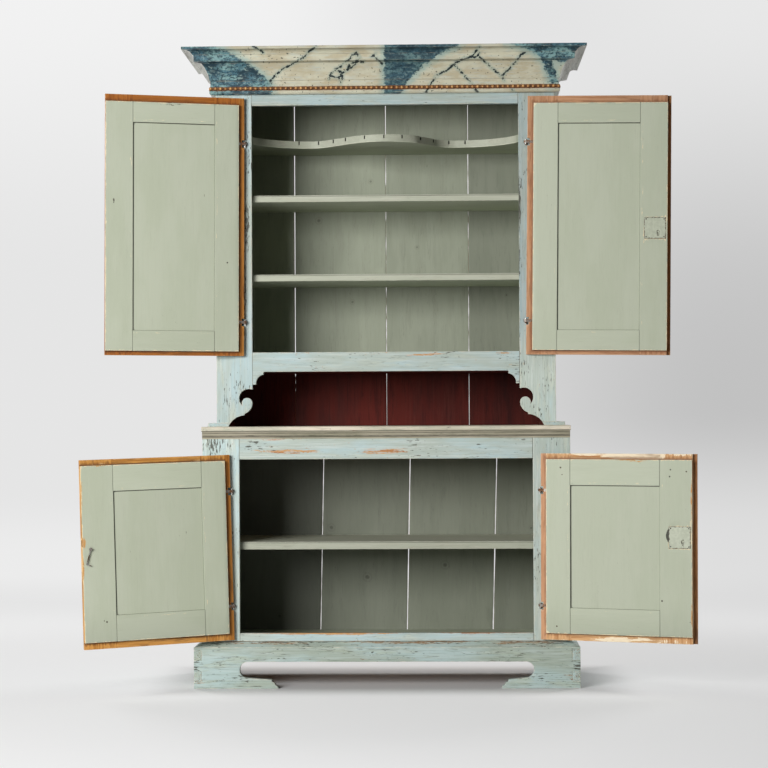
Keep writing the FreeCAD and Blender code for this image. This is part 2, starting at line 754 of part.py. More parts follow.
# -------------------------------------------------------------------- plinth
def plinth():
    # front board with its slot and toes, two sides with through dovetails
    h = d("plinth_h")
    t = d("plinth_t")
    splay = d("splay_h")
    side_out = d("plinth_side_out")
    half = lower_half + side_out
    w = half * 2
    front_y = lower_y - d("plinth_out")
    slot_half = d("slot_w") / 2
    toe = (w - d("foot_gap")) / 2
    right_toe = toe - d("toe_short")
    lip = d("slot_foot")
    rise = d("slot_top") - lip
    r = rise / 2
    end_left = half - slot_half
    face = [
        (0, 0),
        (toe, 0),
        (toe - 2, 7),
        (toe - 10, 12),
        (toe - 14, 20),
        (toe - 21, 22),
        (toe - 22, lip - 6),
        (end_left + r, lip, r, "right"),
        (end_left, lip + r, r, "right"),
        (end_left + r, lip + rise),
        (w - end_left - r, lip + rise, r, "right"),
        (w - end_left, lip + r, r, "right"),
        (w - end_left - r, lip),
        (w - right_toe + 22, lip - 6),
        (w - right_toe + 21, 22),
        (w - right_toe + 14, 20),
        (w - right_toe + 10, 12),
        (w - right_toe + 2, 7),
        (w - right_toe, 0),
        (w, 0),
        (w, h - splay),
        (w - side_out, h),
        (side_out, h),
        (0, h - splay),
    ]
    sheet_front = sawn("plinth_face", "XZ_Plane", face, t, reverse=True)
    place(sheet_front, -half, front_y, 0)
    section = [(0, 0), (t, 0), (t, h), (d("plinth_out"), h), (0, h - splay)]
    long_front = sawn("plinth_front_section", "YZ_Plane", section, w)
    place(long_front, -half, front_y, 0)
    shaped = gather("Part::MultiCommon", "plinth_front_shaped", [sheet_front, long_front])

    deep = back_y - front_y
    low = h * 0.145
    sides = []
    for side in ("left", "right"):
        tails = [
            (t, 0),
            (t, low + 4),
            (0, low),
            (0, low + 34),
            (t, low + 30),
            (t, low + 74),
            (0, low + 70),
            (0, low + 104),
            (t, low + 100),
            (t, h),
            (deep, h),
            (deep, 0),
        ]
        plan = sawn("plinth_%s_plan" % side, "YZ_Plane", tails, t)
        x = -half if side == "left" else half - t
        place(plan, x, front_y, 0)
        cross = [(0, 0), (t, 0), (t, h - splay * (side_out - t) / side_out), (0, h - splay)]
        if side == "right":
            cross = mirrored(cross, t)
        bar = sawn("plinth_%s_section" % side, "XZ_Plane", cross, deep, reverse=True)
        place(bar, x, front_y, 0)
        whole = gather("Part::MultiCommon", "plinth_side_" + side, [plan, bar])
        settle(whole)
        node("plinth_side_" + side, whole)
        sides.append((plan, bar))
    sockets = []
    for side, (plan, bar) in zip(("left", "right"), sides):
        sockets.append(gather("Part::MultiCommon", "plinth_tails_" + side, [plan, bar]))
    tool = gather("Part::MultiFuse", "plinth_sockets", sockets)
    front = gather("Part::Cut", "plinth_front", [shaped, tool])
    settle(front)
    node("plinth_front", front)
    inner = half - t
    board("plinth_back_rail", -inner, inner, back_y - t, back_y, 60, z_floor - d("board_t"))
    # glue blocks in the corners carry the lower case
    blocks = []
    b = 40
    top = z_floor - d("board_t")
    for i, (x, y) in enumerate((("l", "f"), ("r", "f"), ("l", "b"), ("r", "b"))):
        x0 = -inner if x == "l" else inner - b
        y0 = front_y + t if y == "f" else back_y - t - b
        blocks.append(box("plinth_block_%d" % (i + 1), x0, x0 + b, y0, y0 + b, 20, top))
    both = gather("Part::Compound", "plinth_blocks", blocks)
    settle(both)
    node("plinth_blocks", both)


# --------------------------------------------------------------------- doors
DOORS = {
    "upper_left": ("upper", 1, "swing_ul", "lean_ul"),
    "upper_right": ("upper", -1, "swing_ur", "lean_ur"),
    "lower_left": ("lower", 1, "swing_ll", "lean_ll"),
    "lower_right": ("lower", -1, "swing_lr", "lean_lr"),
}


def door_frame_sizes(level):
    # everything about one level's doors, counted from the middle of the hinges
    if level == "upper":
        open_w, reach, pitch = d("upper_open_w"), upper_reach, d("upper_hinge_pitch")
        foot, head, face = z_open, z_head, size(0)
        lip_top, lip_foot, rail = d("upper_lip_top"), d("upper_lip_foot"), d("upper_rail_w")
        hinge_up, free_w = d("upper_hinge_up"), d("door_free_w")
    else:
        open_w, reach, pitch = d("lower_open_w"), lower_reach, d("lower_hinge_pitch")
        foot, head, face = z_base_open, z_base_top, lower_y
        lip_top, lip_foot, rail = d("lower_lip_top"), d("lower_lip_foot"), d("lower_rail_w")
        hinge_up, free_w = d("base_hinge_up"), d("lower_free_w")
    middle = foot + hinge_up + pitch / 2
    return {
        "axis_x": open_w / 2 + d("axis_out"),
        "axis_y": face - d("axis_front"),
        "middle": middle,
        "reach": reach,
        "pitch": pitch,
        "field_foot": foot + d("door_play") - middle,
        "field_head": head - d("door_play") - middle,
        "lip_foot": foot - lip_foot - middle,
        "lip_head": head + lip_top - middle,
        "rail": rail,
        "free": reach - free_w,
        "face": face,
    }


def swing_out(obj, door, sizes):
    # turn a piece drawn closed about its own hinge line to where it stands
    level, sign, swing, lean = DOORS[door]
    tilt = d(lean)
    lift = cosine(tilt)
    slant = sine(tilt)
    settle(obj, sizes["axis_x"] * -sign, sizes["axis_y"], sizes["middle"])
    axis = Vector(-sign * slant.value, 0, lift.value)
    obj.Placement.Rotation = Rotation(axis, -sign * d(swing).value)
    bind(obj, "Placement.Rotation.Angle", size(-sign) * d(swing))
    bind(obj, "Placement.Rotation.Axis.x", size(-sign) * slant)
    bind(obj, "Placement.Rotation.Axis.z", lift)


def door_box(name, sign, s0, s1, y0, y1, z0, z1):
    # s counts from the hinge axis to the free edge, whichever hand the door is
    if sign > 0:
        return box(name, s0, s1, y0, y1, z0, z1)
    return box(name, -size(s1), -size(s0), y0, y1, z0, z1)


def door(door_name):
    level, sign, swing, lean = DOORS[door_name]
    sizes = door_frame_sizes(level)
    tag = door_name
    back = door_back
    front = -door_front
    lip = back - d("field_t")
    s_lip = d("lip_edge")
    s_field = d("axis_out") + d("door_play")
    s_panel = s_field + d("door_stile_w")
    s_free = sizes["free"]
    s_end = sizes["reach"]
    lf, lh = sizes["lip_foot"], sizes["lip_head"]
    ff, fh = sizes["field_foot"], sizes["field_head"]
    pf, ph = ff + sizes["rail"], fh - sizes["rail"]

    # the groove that takes the panel's tongue
    t0 = back - d("panel_set") - d("panel_t")
    tongue = d("tongue")
    groove = door_box(tag + "_groove", sign, s_panel - tongue, s_free + tongue, t0, t0 + d("panel_t"),
                      pf - tongue, ph + tongue)
    # room in the lip for each hinge eye
    rooms = []
    for i, up in enumerate((1, -1)):
        z = sizes["pitch"] / 2 * up
        rooms.append(door_box("%s_room_%d" % (tag, i), sign, s_lip - 2, s_lip + 8,
                              front - 1, lip + 1, z - 13, z + 12))
    pockets = [groove] + rooms
    lock_z = z_open + d("upper_lock_up") if level == "upper" else z_base_open + d("base_lock_up")
    lock_z = lock_z - sizes["middle"]
    bolt_y = back - d("field_t") + 1
    w = d("bolt_w")
    bt = d("bolt_t")
    if sign < 0:
        plate = d("lock_w")
        pockets.append(door_box(tag + "_lock_seat", sign, s_end - 5 - plate, s_end - 5,
                                back - 1.2, back + 1, lock_z - plate / 2, lock_z + plate / 2))
        pockets.append(door_box(tag + "_bolt_way", sign, s_end - 52, s_end + 1,
                                bolt_y, bolt_y + bt + 0.8, lock_z - w / 2 - 0.4, lock_z + w / 2 + 0.4))
    else:
        pockets.append(door_box(tag + "_mortise", sign, s_end - 13, s_end + 1,
                                bolt_y - 0.6, bolt_y + bt + 1.4, lock_z - w / 2 - 1, lock_z + w / 2 + 1))
    void = gather("Part::MultiFuse", tag + "_voids", pockets)

    members = []
    stiles = (("hinge_stile", s_field, s_panel, s_lip), ("free_stile", s_free, s_end, s_free))
    for name, a, b, c in stiles:
        full = door_box("%s_%s_field" % (tag, name), sign, a, b, front, back, ff, fh)
        thin = door_box("%s_%s_lip" % (tag, name), sign, c, b, front, lip, lf, lh)
        solid = gather("Part::MultiFuse", "%s_%s_blank" % (tag, name), [full, thin])
        members.append(gather("Part::Cut", "%s_%s" % (tag, name), [solid, void]))
    rails = (("foot_rail", ff, pf, lf, pf), ("head_rail", ph, fh, ph, lh))
    for name, a, b, c, e in rails:
        full = door_box("%s_%s_field" % (tag, name), sign, s_panel, s_free, front, back, a, b)
        thin = door_box("%s_%s_lip" % (tag, name), sign, s_panel, s_free, front, lip, c, e)
        solid = gather("Part::MultiFuse", "%s_%s_blank" % (tag, name), [full, thin])
        members.append(gather("Part::Cut", "%s_%s" % (tag, name), [solid, void]))
    frame = gather("Part::Compound", tag + "_door_frame", members)
    swing_out(frame, tag, sizes)
    node(tag + "_door_frame", frame)

    # panel: a tongue all round and a raised field on the show side
    slab = door_box(tag + "_panel_tongue", sign, s_panel - tongue, s_free + tongue,
                    t0, t0 + d("panel_t"), pf - tongue, ph + tongue)
    margin = d("panel_margin")
    rise = door_box(tag + "_panel_raise", sign, s_panel + margin, s_free - margin,
                    t0 - d("panel_rise"), t0, pf + margin, ph - margin)
    bevel = doc.addObject("Part::Chamfer", tag + "_panel_bevel")
    bevel.Base = rise
    doc.recompute()
    bevel_w = d("panel_rise") - 0.1
    edges = []
    for i, edge in enumerate(rise.Shape.Edges, start=1):
        ys = [v.Point.y for v in edge.Vertexes]
        if max(ys) < (t0 - d("panel_rise") * 0.8).value:
            edges.append((i, bevel_w.value, bevel_w.value))
    bevel.Edges = edges
    panel = gather("Part::MultiFuse", tag + "_door_panel", [slab, bevel])
    swing_out(panel, tag, sizes)
    node(tag + "_door_panel", panel)

    # hinge eyes, each a ring and an arm driven into the door's edge
    eyes = []
    for i, up in enumerate((1, -1)):
        z = sizes["pitch"] / 2 * up
        low = z - d("eye_h") / 2
        shift = sine(d(lean)) * low * -sign
        ring = rod("%s_ring_%d" % (tag, i), d("eye_d"), d("eye_h"), (0, 0, 0), "z")
        bore = rod("%s_bore_%d" % (tag, i), d("pin_d") + d("pin_play") * 2, d("eye_h") + 4, (0, 0, -2), "z")
        arm = door_box("%s_arm_%d" % (tag, i), sign, 1, 40, lip - 3.3, lip + 0.2, 0, d("eye_h"))
        body = gather("Part::MultiFuse", "%s_eye_blank_%d" % (tag, i), [ring, arm])
        eye = gather("Part::Cut", "%s_eye_%d" % (tag, i), [body, bore])
        place(eye, shift, 0, low)
        lean_about_y(eye, sign, lean)
        eyes.append(eye)
    irons = gather("Part::Compound", tag + "_hinge_eyes", eyes)
    swing_out(irons, tag, sizes)
    node(tag + "_hinge_eyes", irons)

    if sign < 0:
        lock_parts(tag, sizes, lock_z, bolt_y)
    if tag == "lower_left":
        hook_parts(tag, sizes)


def lean_about_y(obj, sign, lean):
    # tilt an iron with its hinge line, top outwards
    obj.Placement.Rotation = Rotation(Vector(0, 1, 0), -sign * d(lean).value)
    bind(obj, "Placement.Rotation.Angle", size(-sign) * d(lean))
    bind(obj, "Placement.Rotation.Axis.x", 0)
    bind(obj, "Placement.Rotation.Axis.y", 1)
    bind(obj, "Placement.Rotation.Axis.z", 0)


def lock_parts(tag, sizes, lock_z, bolt_y):
    # the right doors carry the lock and the strip that covers the meeting gap
    s_end = sizes["reach"]
    front = -door_front
    lf, lh = sizes["lip_foot"], sizes["lip_head"]
    half = d("astragal_w") / 2
    at = d("astragal_t")
    fixed = door_box(tag + "_astragal_fixed", -1, s_end - half, s_end, front - at, front, lf, lh)
    cover = door_box(tag + "_astragal_cover", -1, s_end, s_end + half, front - at, front - 0.4, lf, lh)
    strip = gather("Part::MultiFuse", tag + "_astragal", [fixed, cover])
    swing_out(strip, tag, sizes)
    node(tag + "_astragal", strip)

    plate_w = d("lock_w")
    back = door_back
    plate = door_box(tag + "_plate", -1, s_end - 5 - plate_w, s_end - 5, back - 1.2,
                     back - 1.2 + d("lock_t"), lock_z - plate_w / 2, lock_z + plate_w / 2)
    hole = rod(tag + "_keyhole", 7, 8, (-(s_end - 30), back - 4, lock_z - 12), "y")
    slit = door_box(tag + "_keyslit", -1, s_end - 31.5, s_end - 28.5, back - 4, back + 4, lock_z - 24, lock_z - 12)
    key = gather("Part::MultiFuse", tag + "_keyway", [hole, slit])
    lock = gather("Part::Cut", tag + "_lock_plate", [plate, key])
    swing_out(lock, tag, sizes)
    node(tag + "_lock_plate", lock)

    w = d("bolt_w")
    bolt = door_box(tag + "_bolt", -1, s_end - 40, s_end - 0.5, bolt_y + 0.4,
                    bolt_y + 0.4 + d("bolt_t"), lock_z - w / 2, lock_z + w / 2)
    nose = door_box(tag + "_bolt_tail", -1, s_end - 46, s_end - 40, bolt_y + 0.4,
                    bolt_y + 0.4 + d("bolt_t"), lock_z - w / 4, lock_z + w / 4)
    whole = gather("Part::MultiFuse", tag + "_bolt_set", [bolt, nose])
    swing_out(whole, tag, sizes)
    node(tag + "_lock_bolt", whole)


def hook_parts(tag, sizes):
    # a small hook hangs from a round staple on the inside of the lower left door
    back = door_back
    x = sizes["reach"] - d("hook_in")
    z = z_base_open + d("hook_up") - sizes["middle"]
    dia = d("staple_d")
    stem = rod(tag + "_staple_stem", dia, 14.5, (x, back - 6, z), "y")
    head = rod(tag + "_staple_head", dia * 2, 1.5, (x, back + 7, z), "y")
    staple = gather("Part::MultiFuse", tag + "_hook_staple", [stem, head])
    swing_out(staple, tag, sizes)
    node("hook_staple", staple)

    near = back + 2.5
    wire = 3
    low = -d("hook_len")
    ring = rod(tag + "_hook_ring", dia + 6, wire, (0, near, 0), "y")
    hole = rod(tag + "_hook_hole", dia + 0.12, 8, (x, back, z), "y")
    shank = box(tag + "_hook_shank", -wire / 2, wire / 2, near, near + wire, low, -dia)
    tip = box(tag + "_hook_tip", -d("hook_tip"), wire / 2, near, near + wire, low, low + wire)
    blank = gather("Part::MultiFuse", tag + "_hook_blank", [ring, shank, tip])
    place(blank, x, 0, z)
    lean_about_y(blank, 1, "hook_lean")
    hook = gather("Part::Cut", tag + "_hook_iron", [blank, hole])
    swing_out(hook, tag, sizes)
    node("hook", hook)


def pintles():
    # eight iron pintles: a pin for the eye and a spike driven into the stile
    irons = []
    for tag, (level, sign, swing, lean) in DOORS.items():
        sizes = door_frame_sizes(level)
        slant = sine(d(lean))
        for i, up in enumerate((1, -1)):
            z = sizes["pitch"] / 2 * up
            low = -d("eye_h") / 2 - 6
            pin = rod("%s_pin_%d" % (tag, i), d("pin_d"), d("eye_h") + 10, (0, 0, low), "z")
            spike = rod("%s_spike_%d" % (tag, i), 5, d("axis_front") + 20, (0, 0, low + 3), "y")
            one = gather("Part::MultiFuse", "%s_pintle_%d" % (tag, i), [pin, spike])
            x = sizes["axis_x"] * -sign - slant * z * sign
            place(one, x, sizes["axis_y"], sizes["middle"] + z)
            lean_about_y(one, sign, lean)
            irons.append(one)
    group = gather("Part::Compound", "hinge_pintles", irons)
    settle(group)
    node("hinge_pintles", group)


upper_case()
upper_stiles()
apron_rail()
shoes()
spoon_shelf()
cornice()
bead_string()
lower_case()
waist()
plinth()
for name in DOORS:
    door(name)
pintles()

doc.recompute()
doc.recompute()

os.makedirs("parts", exist_ok=True)
wrong = [obj.Label for obj in doc.Objects if "Invalid" in obj.State or "Error" in obj.State]
if wrong:
    raise RuntimeError("not built: " + ", ".join(wrong))
for name, obj in nodes.items():
    shape = obj.Shape
    if shape.isNull() or not shape.isValid():
        raise RuntimeError("the shape of %s is null or invalid" % name)
    shape.exportStep("parts/%s.step" % name)
    box_ = shape.BoundBox
    print("%-28s solids %d  x %.1f..%.1f  y %.1f..%.1f  z %.1f..%.1f" % (
        name, len(shape.Solids), box_.XMin, box_.XMax, box_.YMin, box_.YMax, box_.ZMin, box_.ZMax))
print("nodes", len(nodes))
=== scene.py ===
import json
import math
import random

import bmesh
import bpy
import numpy as np
from mathutils import Matrix, Vector, noise


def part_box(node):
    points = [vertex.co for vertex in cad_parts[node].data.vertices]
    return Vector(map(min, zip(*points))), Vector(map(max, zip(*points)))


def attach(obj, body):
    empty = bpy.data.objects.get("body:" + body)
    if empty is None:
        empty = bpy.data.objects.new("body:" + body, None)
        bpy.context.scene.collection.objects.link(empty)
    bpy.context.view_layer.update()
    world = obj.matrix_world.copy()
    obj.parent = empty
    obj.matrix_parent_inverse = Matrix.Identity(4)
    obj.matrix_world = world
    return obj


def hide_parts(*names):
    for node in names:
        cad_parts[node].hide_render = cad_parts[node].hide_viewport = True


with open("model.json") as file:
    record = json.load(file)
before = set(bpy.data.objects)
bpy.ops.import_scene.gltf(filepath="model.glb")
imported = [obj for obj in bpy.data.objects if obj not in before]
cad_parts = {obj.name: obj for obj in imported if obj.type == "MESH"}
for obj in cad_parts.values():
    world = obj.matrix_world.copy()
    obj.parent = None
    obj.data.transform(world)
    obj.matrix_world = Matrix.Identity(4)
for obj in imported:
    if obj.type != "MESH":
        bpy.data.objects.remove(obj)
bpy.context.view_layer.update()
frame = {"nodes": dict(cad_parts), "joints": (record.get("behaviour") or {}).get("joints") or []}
nodes = frame["nodes"]
print("frame loaded:", len(nodes), "nodes")


# the cupboard's own measures, read from its solids
def middleOf(node, axis):
    low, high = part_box(node)
    return (low[axis] + high[axis]) / 2


caseX = middleOf("cornice_front", 0)                     # middle of the cases, left to right
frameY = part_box("upper_top_rail")[0].y                   # face of the upper frame
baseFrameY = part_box("lower_top_rail")[0].y               # face of the lower frame
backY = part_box("upper_back_board_1")[0].y                # inside of the back boards
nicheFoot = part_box("waist_board")[1].z
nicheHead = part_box("upper_floor_board")[0].z
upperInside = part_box("upper_side_right")[0].x - caseX
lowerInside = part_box("lower_side_right")[0].x - caseX


# camera
viewer = {
    "place": (0.180074, -6.964932, 0.881816),
    "lens": 98.4375,
    "yaw": 1.64883,                                       # degrees, to the left
    "pitch": 0.89653,                                     # degrees, upwards
    "roll": 0.29236,
}


def standCamera(look):
    turn = (Matrix.Rotation(math.radians(look["yaw"]), 3, "Z")
            @ Matrix.Rotation(math.radians(look["pitch"]), 3, "X")
            @ Matrix.Rotation(math.radians(look["roll"]), 3, "Y"))
    data = bpy.data.cameras.new("viewer")
    data.lens = look["lens"]
    data.sensor_width = 36.0
    camera = bpy.data.objects.new("viewer", data)
    bpy.context.scene.collection.objects.link(camera)
    right, ahead, up = turn.col[0], turn.col[1], turn.col[2]
    camera.matrix_world = Matrix((
        (right.x, up.x, -ahead.x, look["place"][0]),
        (right.y, up.y, -ahead.y, look["place"][1]),
        (right.z, up.z, -ahead.z, look["place"][2]),
        (0, 0, 0, 1),
    ))
    bpy.context.scene.camera = camera


standCamera(viewer)
print("camera stands")


# node helpers for the finishes
class Signal:
    # a node's output, to be added, taken away and multiplied like a number
    def __init__(self, socket):
        self.socket = socket
        self.tree = socket.id_data

    def __add__(self, other):
        return reckon(self.tree, "ADD", self, other)

    def __sub__(self, other):
        return reckon(self.tree, "SUBTRACT", self, other)

    def __rsub__(self, other):
        return reckon(self.tree, "SUBTRACT", other, self)

    def __mul__(self, other):
        return reckon(self.tree, "MULTIPLY", self, other)

    def __abs__(self):
        return reckon(self.tree, "ABSOLUTE", self, 0.0)


def wire(value, socket):
    # an output is linked, anything else is set as a value
    if isinstance(value, Signal):
        value = value.socket
    if isinstance(value, bpy.types.NodeSocket):
        socket.id_data.links.new(value, socket)
    elif socket.type == "RGBA":
        colour = value if isinstance(value, (tuple, list)) else (value,) * 3
        socket.default_value = tuple(colour[:3]) + (1.0,)
    else:
        socket.default_value = value


def feed(node, **sockets):
    # fills a node's inputs by name, with _ for a space
    for label, value in sockets.items():
        wire(value, node.inputs[label.replace("_", " ")])
    return node


def step(tree, kind, **sockets):
    # a new node with its inputs filled
    return feed(tree.nodes.new(kind), **sockets)


def reckon(tree, operation, first, second):
    node = tree.nodes.new("ShaderNodeMath")
    node.operation = operation
    wire(first, node.inputs[0])
    wire(second, node.inputs[1])
    return Signal(node.outputs[0])


def larger(first, second):
    return reckon(first.tree, "MAXIMUM", first, second)


def smaller(first, second):
    return reckon(first.tree, "MINIMUM", first, second)


def newFinish(name, roughness=0.6, specular=0.35, metal=0.0):
    finish = bpy.data.materials.new(name)
    finish.use_nodes = True
    tree = finish.node_tree
    shader = feed(tree.nodes["Principled BSDF"], Roughness=roughness, Specular_IOR_Level=specular,
                  Metallic=metal)
    return finish, tree, shader


def attributeOf(tree, name, output="Fac"):
    node = tree.nodes.new("ShaderNodeAttribute")
    node.attribute_name = name
    return Signal(node.outputs[output])


def attributesOf(tree, *names):
    # what the boards carry on their points, such as the way to the nearest arris
    return [attributeOf(tree, name) for name in names]


def ownCoord(tree):
    return Signal(tree.nodes.new("ShaderNodeTexCoord").outputs["Object"])


def axesOf(coord):
    # across, along and up
    node = step(coord.tree, "ShaderNodeSeparateXYZ", Vector=coord)
    return [Signal(output) for output in node.outputs]


def noiseOf(coord, blobSize, detail=3.0, rough=0.55, warp=0.0, shift=(0, 0, 0)):
    # blobSize is the size of one blob in metres along each axis
    place = step(coord.tree, "ShaderNodeMapping", Location=shift, Scale=[1.0 / size for size in blobSize],
                 Vector=coord)
    cloud = step(coord.tree, "ShaderNodeTexNoise", Scale=1.0, Detail=detail, Roughness=rough,
                 Distortion=warp, Vector=place.outputs[0])
    return Signal(cloud.outputs["Fac"])


def band(value, low, high, toLow=0.0, toHigh=1.0):
    # a soft step from toLow to toHigh
    node = value.tree.nodes.new("ShaderNodeMapRange")
    node.interpolation_type = "SMOOTHSTEP"
    feed(node, Value=value, From_Min=low, From_Max=high, To_Min=toLow, To_Max=toHigh)
    return Signal(node.outputs["Result"])


def tint(factor, under, over, mode="MIX"):
    # the second colour over the first, as strongly as the factor says
    tree = next(value.tree for value in (factor, under, over) if isinstance(value, Signal))
    node = tree.nodes.new("ShaderNodeMix")
    node.data_type = "RGBA"
    node.blend_type = mode
    for number, value in ((0, factor), (6, under), (7, over)):  # the colour sockets of a mix node
        wire(value, node.inputs[number])
    return Signal(node.outputs[2])


def bumpOf(height, depth, strength=1.0):
    return step(height.tree, "ShaderNodeBump", Strength=strength, Distance=depth, Height=height).outputs[0]


def pineOf(coord, light, dark):
    # straight pine grain with darker late wood and a slow drift in tone
    ring = noiseOf(coord, (0.30, 0.0065, 0.012), 4, 0.6, 0.35)
    fine = noiseOf(coord, (0.05, 0.0012, 0.0012), 2, 0.5)
    drift = noiseOf(coord, (0.4, 0.08, 0.08), 2)
    wood = tint(band(ring, 0.42, 0.66), light, dark)
    wood = tint(band(fine, 0.5, 0.8, 0, 0.35), wood, dark)
    deep = [channel * 0.72 for channel in light]
    return tint(band(drift, 0.35, 0.7, 0, 0.5), wood, deep), ring, fine


# painted and bare wood
paintDefaults = {
    "rough": 0.58,
    "gloss": 0.3,
    "patches": 0.35,
    "patchTint": (0.50, 0.52, 0.42),
    "streaks": 0.45,
    "hairs": 0.30,
    "rimWidth": 0.0024,                                   # how far the arrises are rubbed
    "rimShow": 0.8,
    "rim": (0.62, 0.60, 0.50),
    "scuffLift": 0.22,
    "ground": (0.36, 0.27, 0.19),
    "chipFrom": 0.80,                                     # the lower, the more paint is gone
    "wood": (0.50, 0.30, 0.15),
    "woodDark": (0.27, 0.13, 0.055),
    "speck": (0.060, 0.055, 0.040),
    "speckFrom": 0.74,
    "cracks": 0.5,
    "creaseWidth": 0.0022,
    "creaseDark": 0.75,
    "creaseTint": (0.07, 0.07, 0.05),
    "relief": 0.55,
}


def agedPaint(name, **changes):
    # brushed paint over pine: rubbed pale on its arrises, bare in patches, crackled and dirty in others,
    # dark in its creases from dirt and painted shade, and scaled by each piece's tone with its painted
    # light and shade
    look = {**paintDefaults, **changes}
    finish, tree, shader = newFinish(name, look["rough"], look["gloss"])
    coord = attributeOf(tree, "boardCoord", "Vector")
    arris, crease, scuff, fleck, knot, toneWithPaintedShade = attributesOf(
        tree, "arris", "crease", "scuff", "fleck", "knot", "boardToneWithPaintedShade")

    blotch = noiseOf(coord, (0.34, 0.09, 0.09), 4, 0.6)
    patch = noiseOf(coord, (0.15, 0.026, 0.026), 4, 0.66, 0.2, (11.0, 3.0, 6.0))
    streak = noiseOf(coord, (0.21, 0.0075, 0.0075), 4, 0.62)
    hair = noiseOf(coord, (0.095, 0.0034, 0.0034), 3, 0.62)
    paint = tint(band(blotch, 0.38, 0.62), look["paint"], look["paintLight"])
    paint = tint(band(patch, 0.50, 0.66, 0, look["patches"]), paint, look["patchTint"])
    paint = tint(band(streak, 0.46, 0.70, 0, look["streaks"]), paint, look["streakTint"])
    paint = tint(band(hair, 0.52, 0.72, 0, look["hairs"]), paint, look["hairTint"])
    # each piece's own tone, with its painted light and shade, darkens or lightens the paint
    paint = tint(1.0, paint, toneWithPaintedShade, "MULTIPLY")

    ragged = noiseOf(coord, (0.034, 0.007, 0.007), 5, 0.7)
    rim = band(ragged, 0.36, 0.7, 0.0, look["rimWidth"]) - arris
    colour = tint(band(rim, -0.0004, 0.0008, 0.0, look["rimShow"]), paint, look["rim"])

    chips = noiseOf(coord, (0.085, 0.0085, 0.0085), 5, 0.72, 0.3, (3.1, 1.7, 0.4))
    chipLevel = chips + scuff * ((hair - 0.5) * 1.1 + look["scuffLift"])
    crumbs = noiseOf(coord, (0.013, 0.0046, 0.0046), 3, 0.7, 0.0, (4.0, 6.0, 1.0))
    crumbled = chipLevel + (crumbs - 0.52) * 0.9
    flaked = band(crumbled, look["chipFrom"], look["chipFrom"] + 0.05)
    flakedWide = band(chipLevel, look["chipFrom"] - 0.05, look["chipFrom"] - 0.005, 0.0, 0.8)
    colour = tint(flakedWide, colour, look["ground"])
    colour = tint(flaked, colour, pineOf(coord, look["wood"], look["woodDark"])[0])

    # dirt sits in short dashes along the grain, crowded in places
    dirt = tint(1.0, look["speck"], toneWithPaintedShade, "MULTIPLY")
    speck = noiseOf(coord, (0.022, 0.0040, 0.0040), 2, 0.6, 0.0, (7.0, 2.0, 5.0))
    herd = noiseOf(coord, (0.20, 0.07, 0.07), 3, 0.6, 0.0, (2.0, 9.0, 4.0))
    crowd = band(herd, 0.48, 0.70, 0.0, 0.09)
    level = speck + crowd + fleck * 0.17
    dots = band(level, look["speckFrom"], look["speckFrom"] + 0.045, 0.0, 0.88)
    colour = tint(dots, colour, dirt)
    crack = noiseOf(coord, (0.16, 0.0062, 0.0062), 3, 0.5, 0.0, (1.0, 5.0, 8.0))
    split = band(abs(crack - 0.5), 0.004, 0.016, look["cracks"], 0.0)
    colour = tint(split * band(patch, 0.44, 0.60), colour, dirt)
    rings = larger(band(knot, 0.45, 0.8, 0.0, 0.6), band(abs(knot - 0.25), 0.06, 0.18, 0.15, 0.0))
    colour = tint(rings, colour, dirt)
    # dirt in the joints and painted shade in gaps, grooves and under noses darken the creases
    creaseDirtAndShade = band(crease, 0.0006, look["creaseWidth"], look["creaseDark"], 0.0)
    colour = tint(creaseDirtAndShade, colour, look["creaseTint"])

    sheen = band(blotch, 0.3, 0.7, look["rough"] - 0.06, look["rough"] + 0.08)
    height = streak * 0.55 + hair * 0.35 - larger(flaked, dots) * 0.55 - creaseDirtAndShade * 0.6
    feed(shader, Base_Color=colour, Roughness=sheen + flaked * 0.12,
         Normal=bumpOf(height, 0.00075, look["relief"]))
    return finish


framePaint = agedPaint(
    "framePaint", paint=(0.440, 0.500, 0.440), paintLight=(0.462, 0.588, 0.594),
    patchTint=(0.56, 0.60, 0.50), patches=0.6, streakTint=(0.65, 0.70, 0.67),
    hairTint=(0.31, 0.355, 0.295), streaks=0.45, hairs=0.36, chipFrom=0.735, speckFrom=0.71, cracks=0.45,
    scuffLift=0.29, rimWidth=0.0034, wood=(0.66, 0.36, 0.14), woodDark=(0.36, 0.12, 0.05),
    ground=(0.62, 0.44, 0.33), relief=0.8)
plinthPaint = agedPaint(
    "plinthPaint", paint=(0.358, 0.414, 0.346), paintLight=(0.430, 0.540, 0.522),
    patchTint=(0.44, 0.50, 0.40), patches=0.7, streakTint=(0.53, 0.60, 0.57),
    hairTint=(0.185, 0.235, 0.180), streaks=0.55, hairs=0.70, chipFrom=0.735, speckFrom=0.70, cracks=0.9,
    scuffLift=0.29, wood=(0.36, 0.24, 0.14), woodDark=(0.17, 0.09, 0.05), ground=(0.50, 0.43, 0.33),
    relief=1.0)
waistPaint = agedPaint(
    "waistPaint", paint=(0.52, 0.490, 0.375), paintLight=(0.73, 0.655, 0.525),
    patchTint=(0.44, 0.46, 0.36), patches=0.6, streakTint=(0.76, 0.67, 0.55),
    hairTint=(0.220, 0.200, 0.130), hairs=0.45, rim=(0.76, 0.66, 0.53), chipFrom=0.745, speckFrom=0.72,
    cracks=0.45, ground=(0.52, 0.36, 0.26), wood=(0.44, 0.22, 0.12), woodDark=(0.24, 0.10, 0.06),
    relief=0.9, creaseWidth=0.0030)
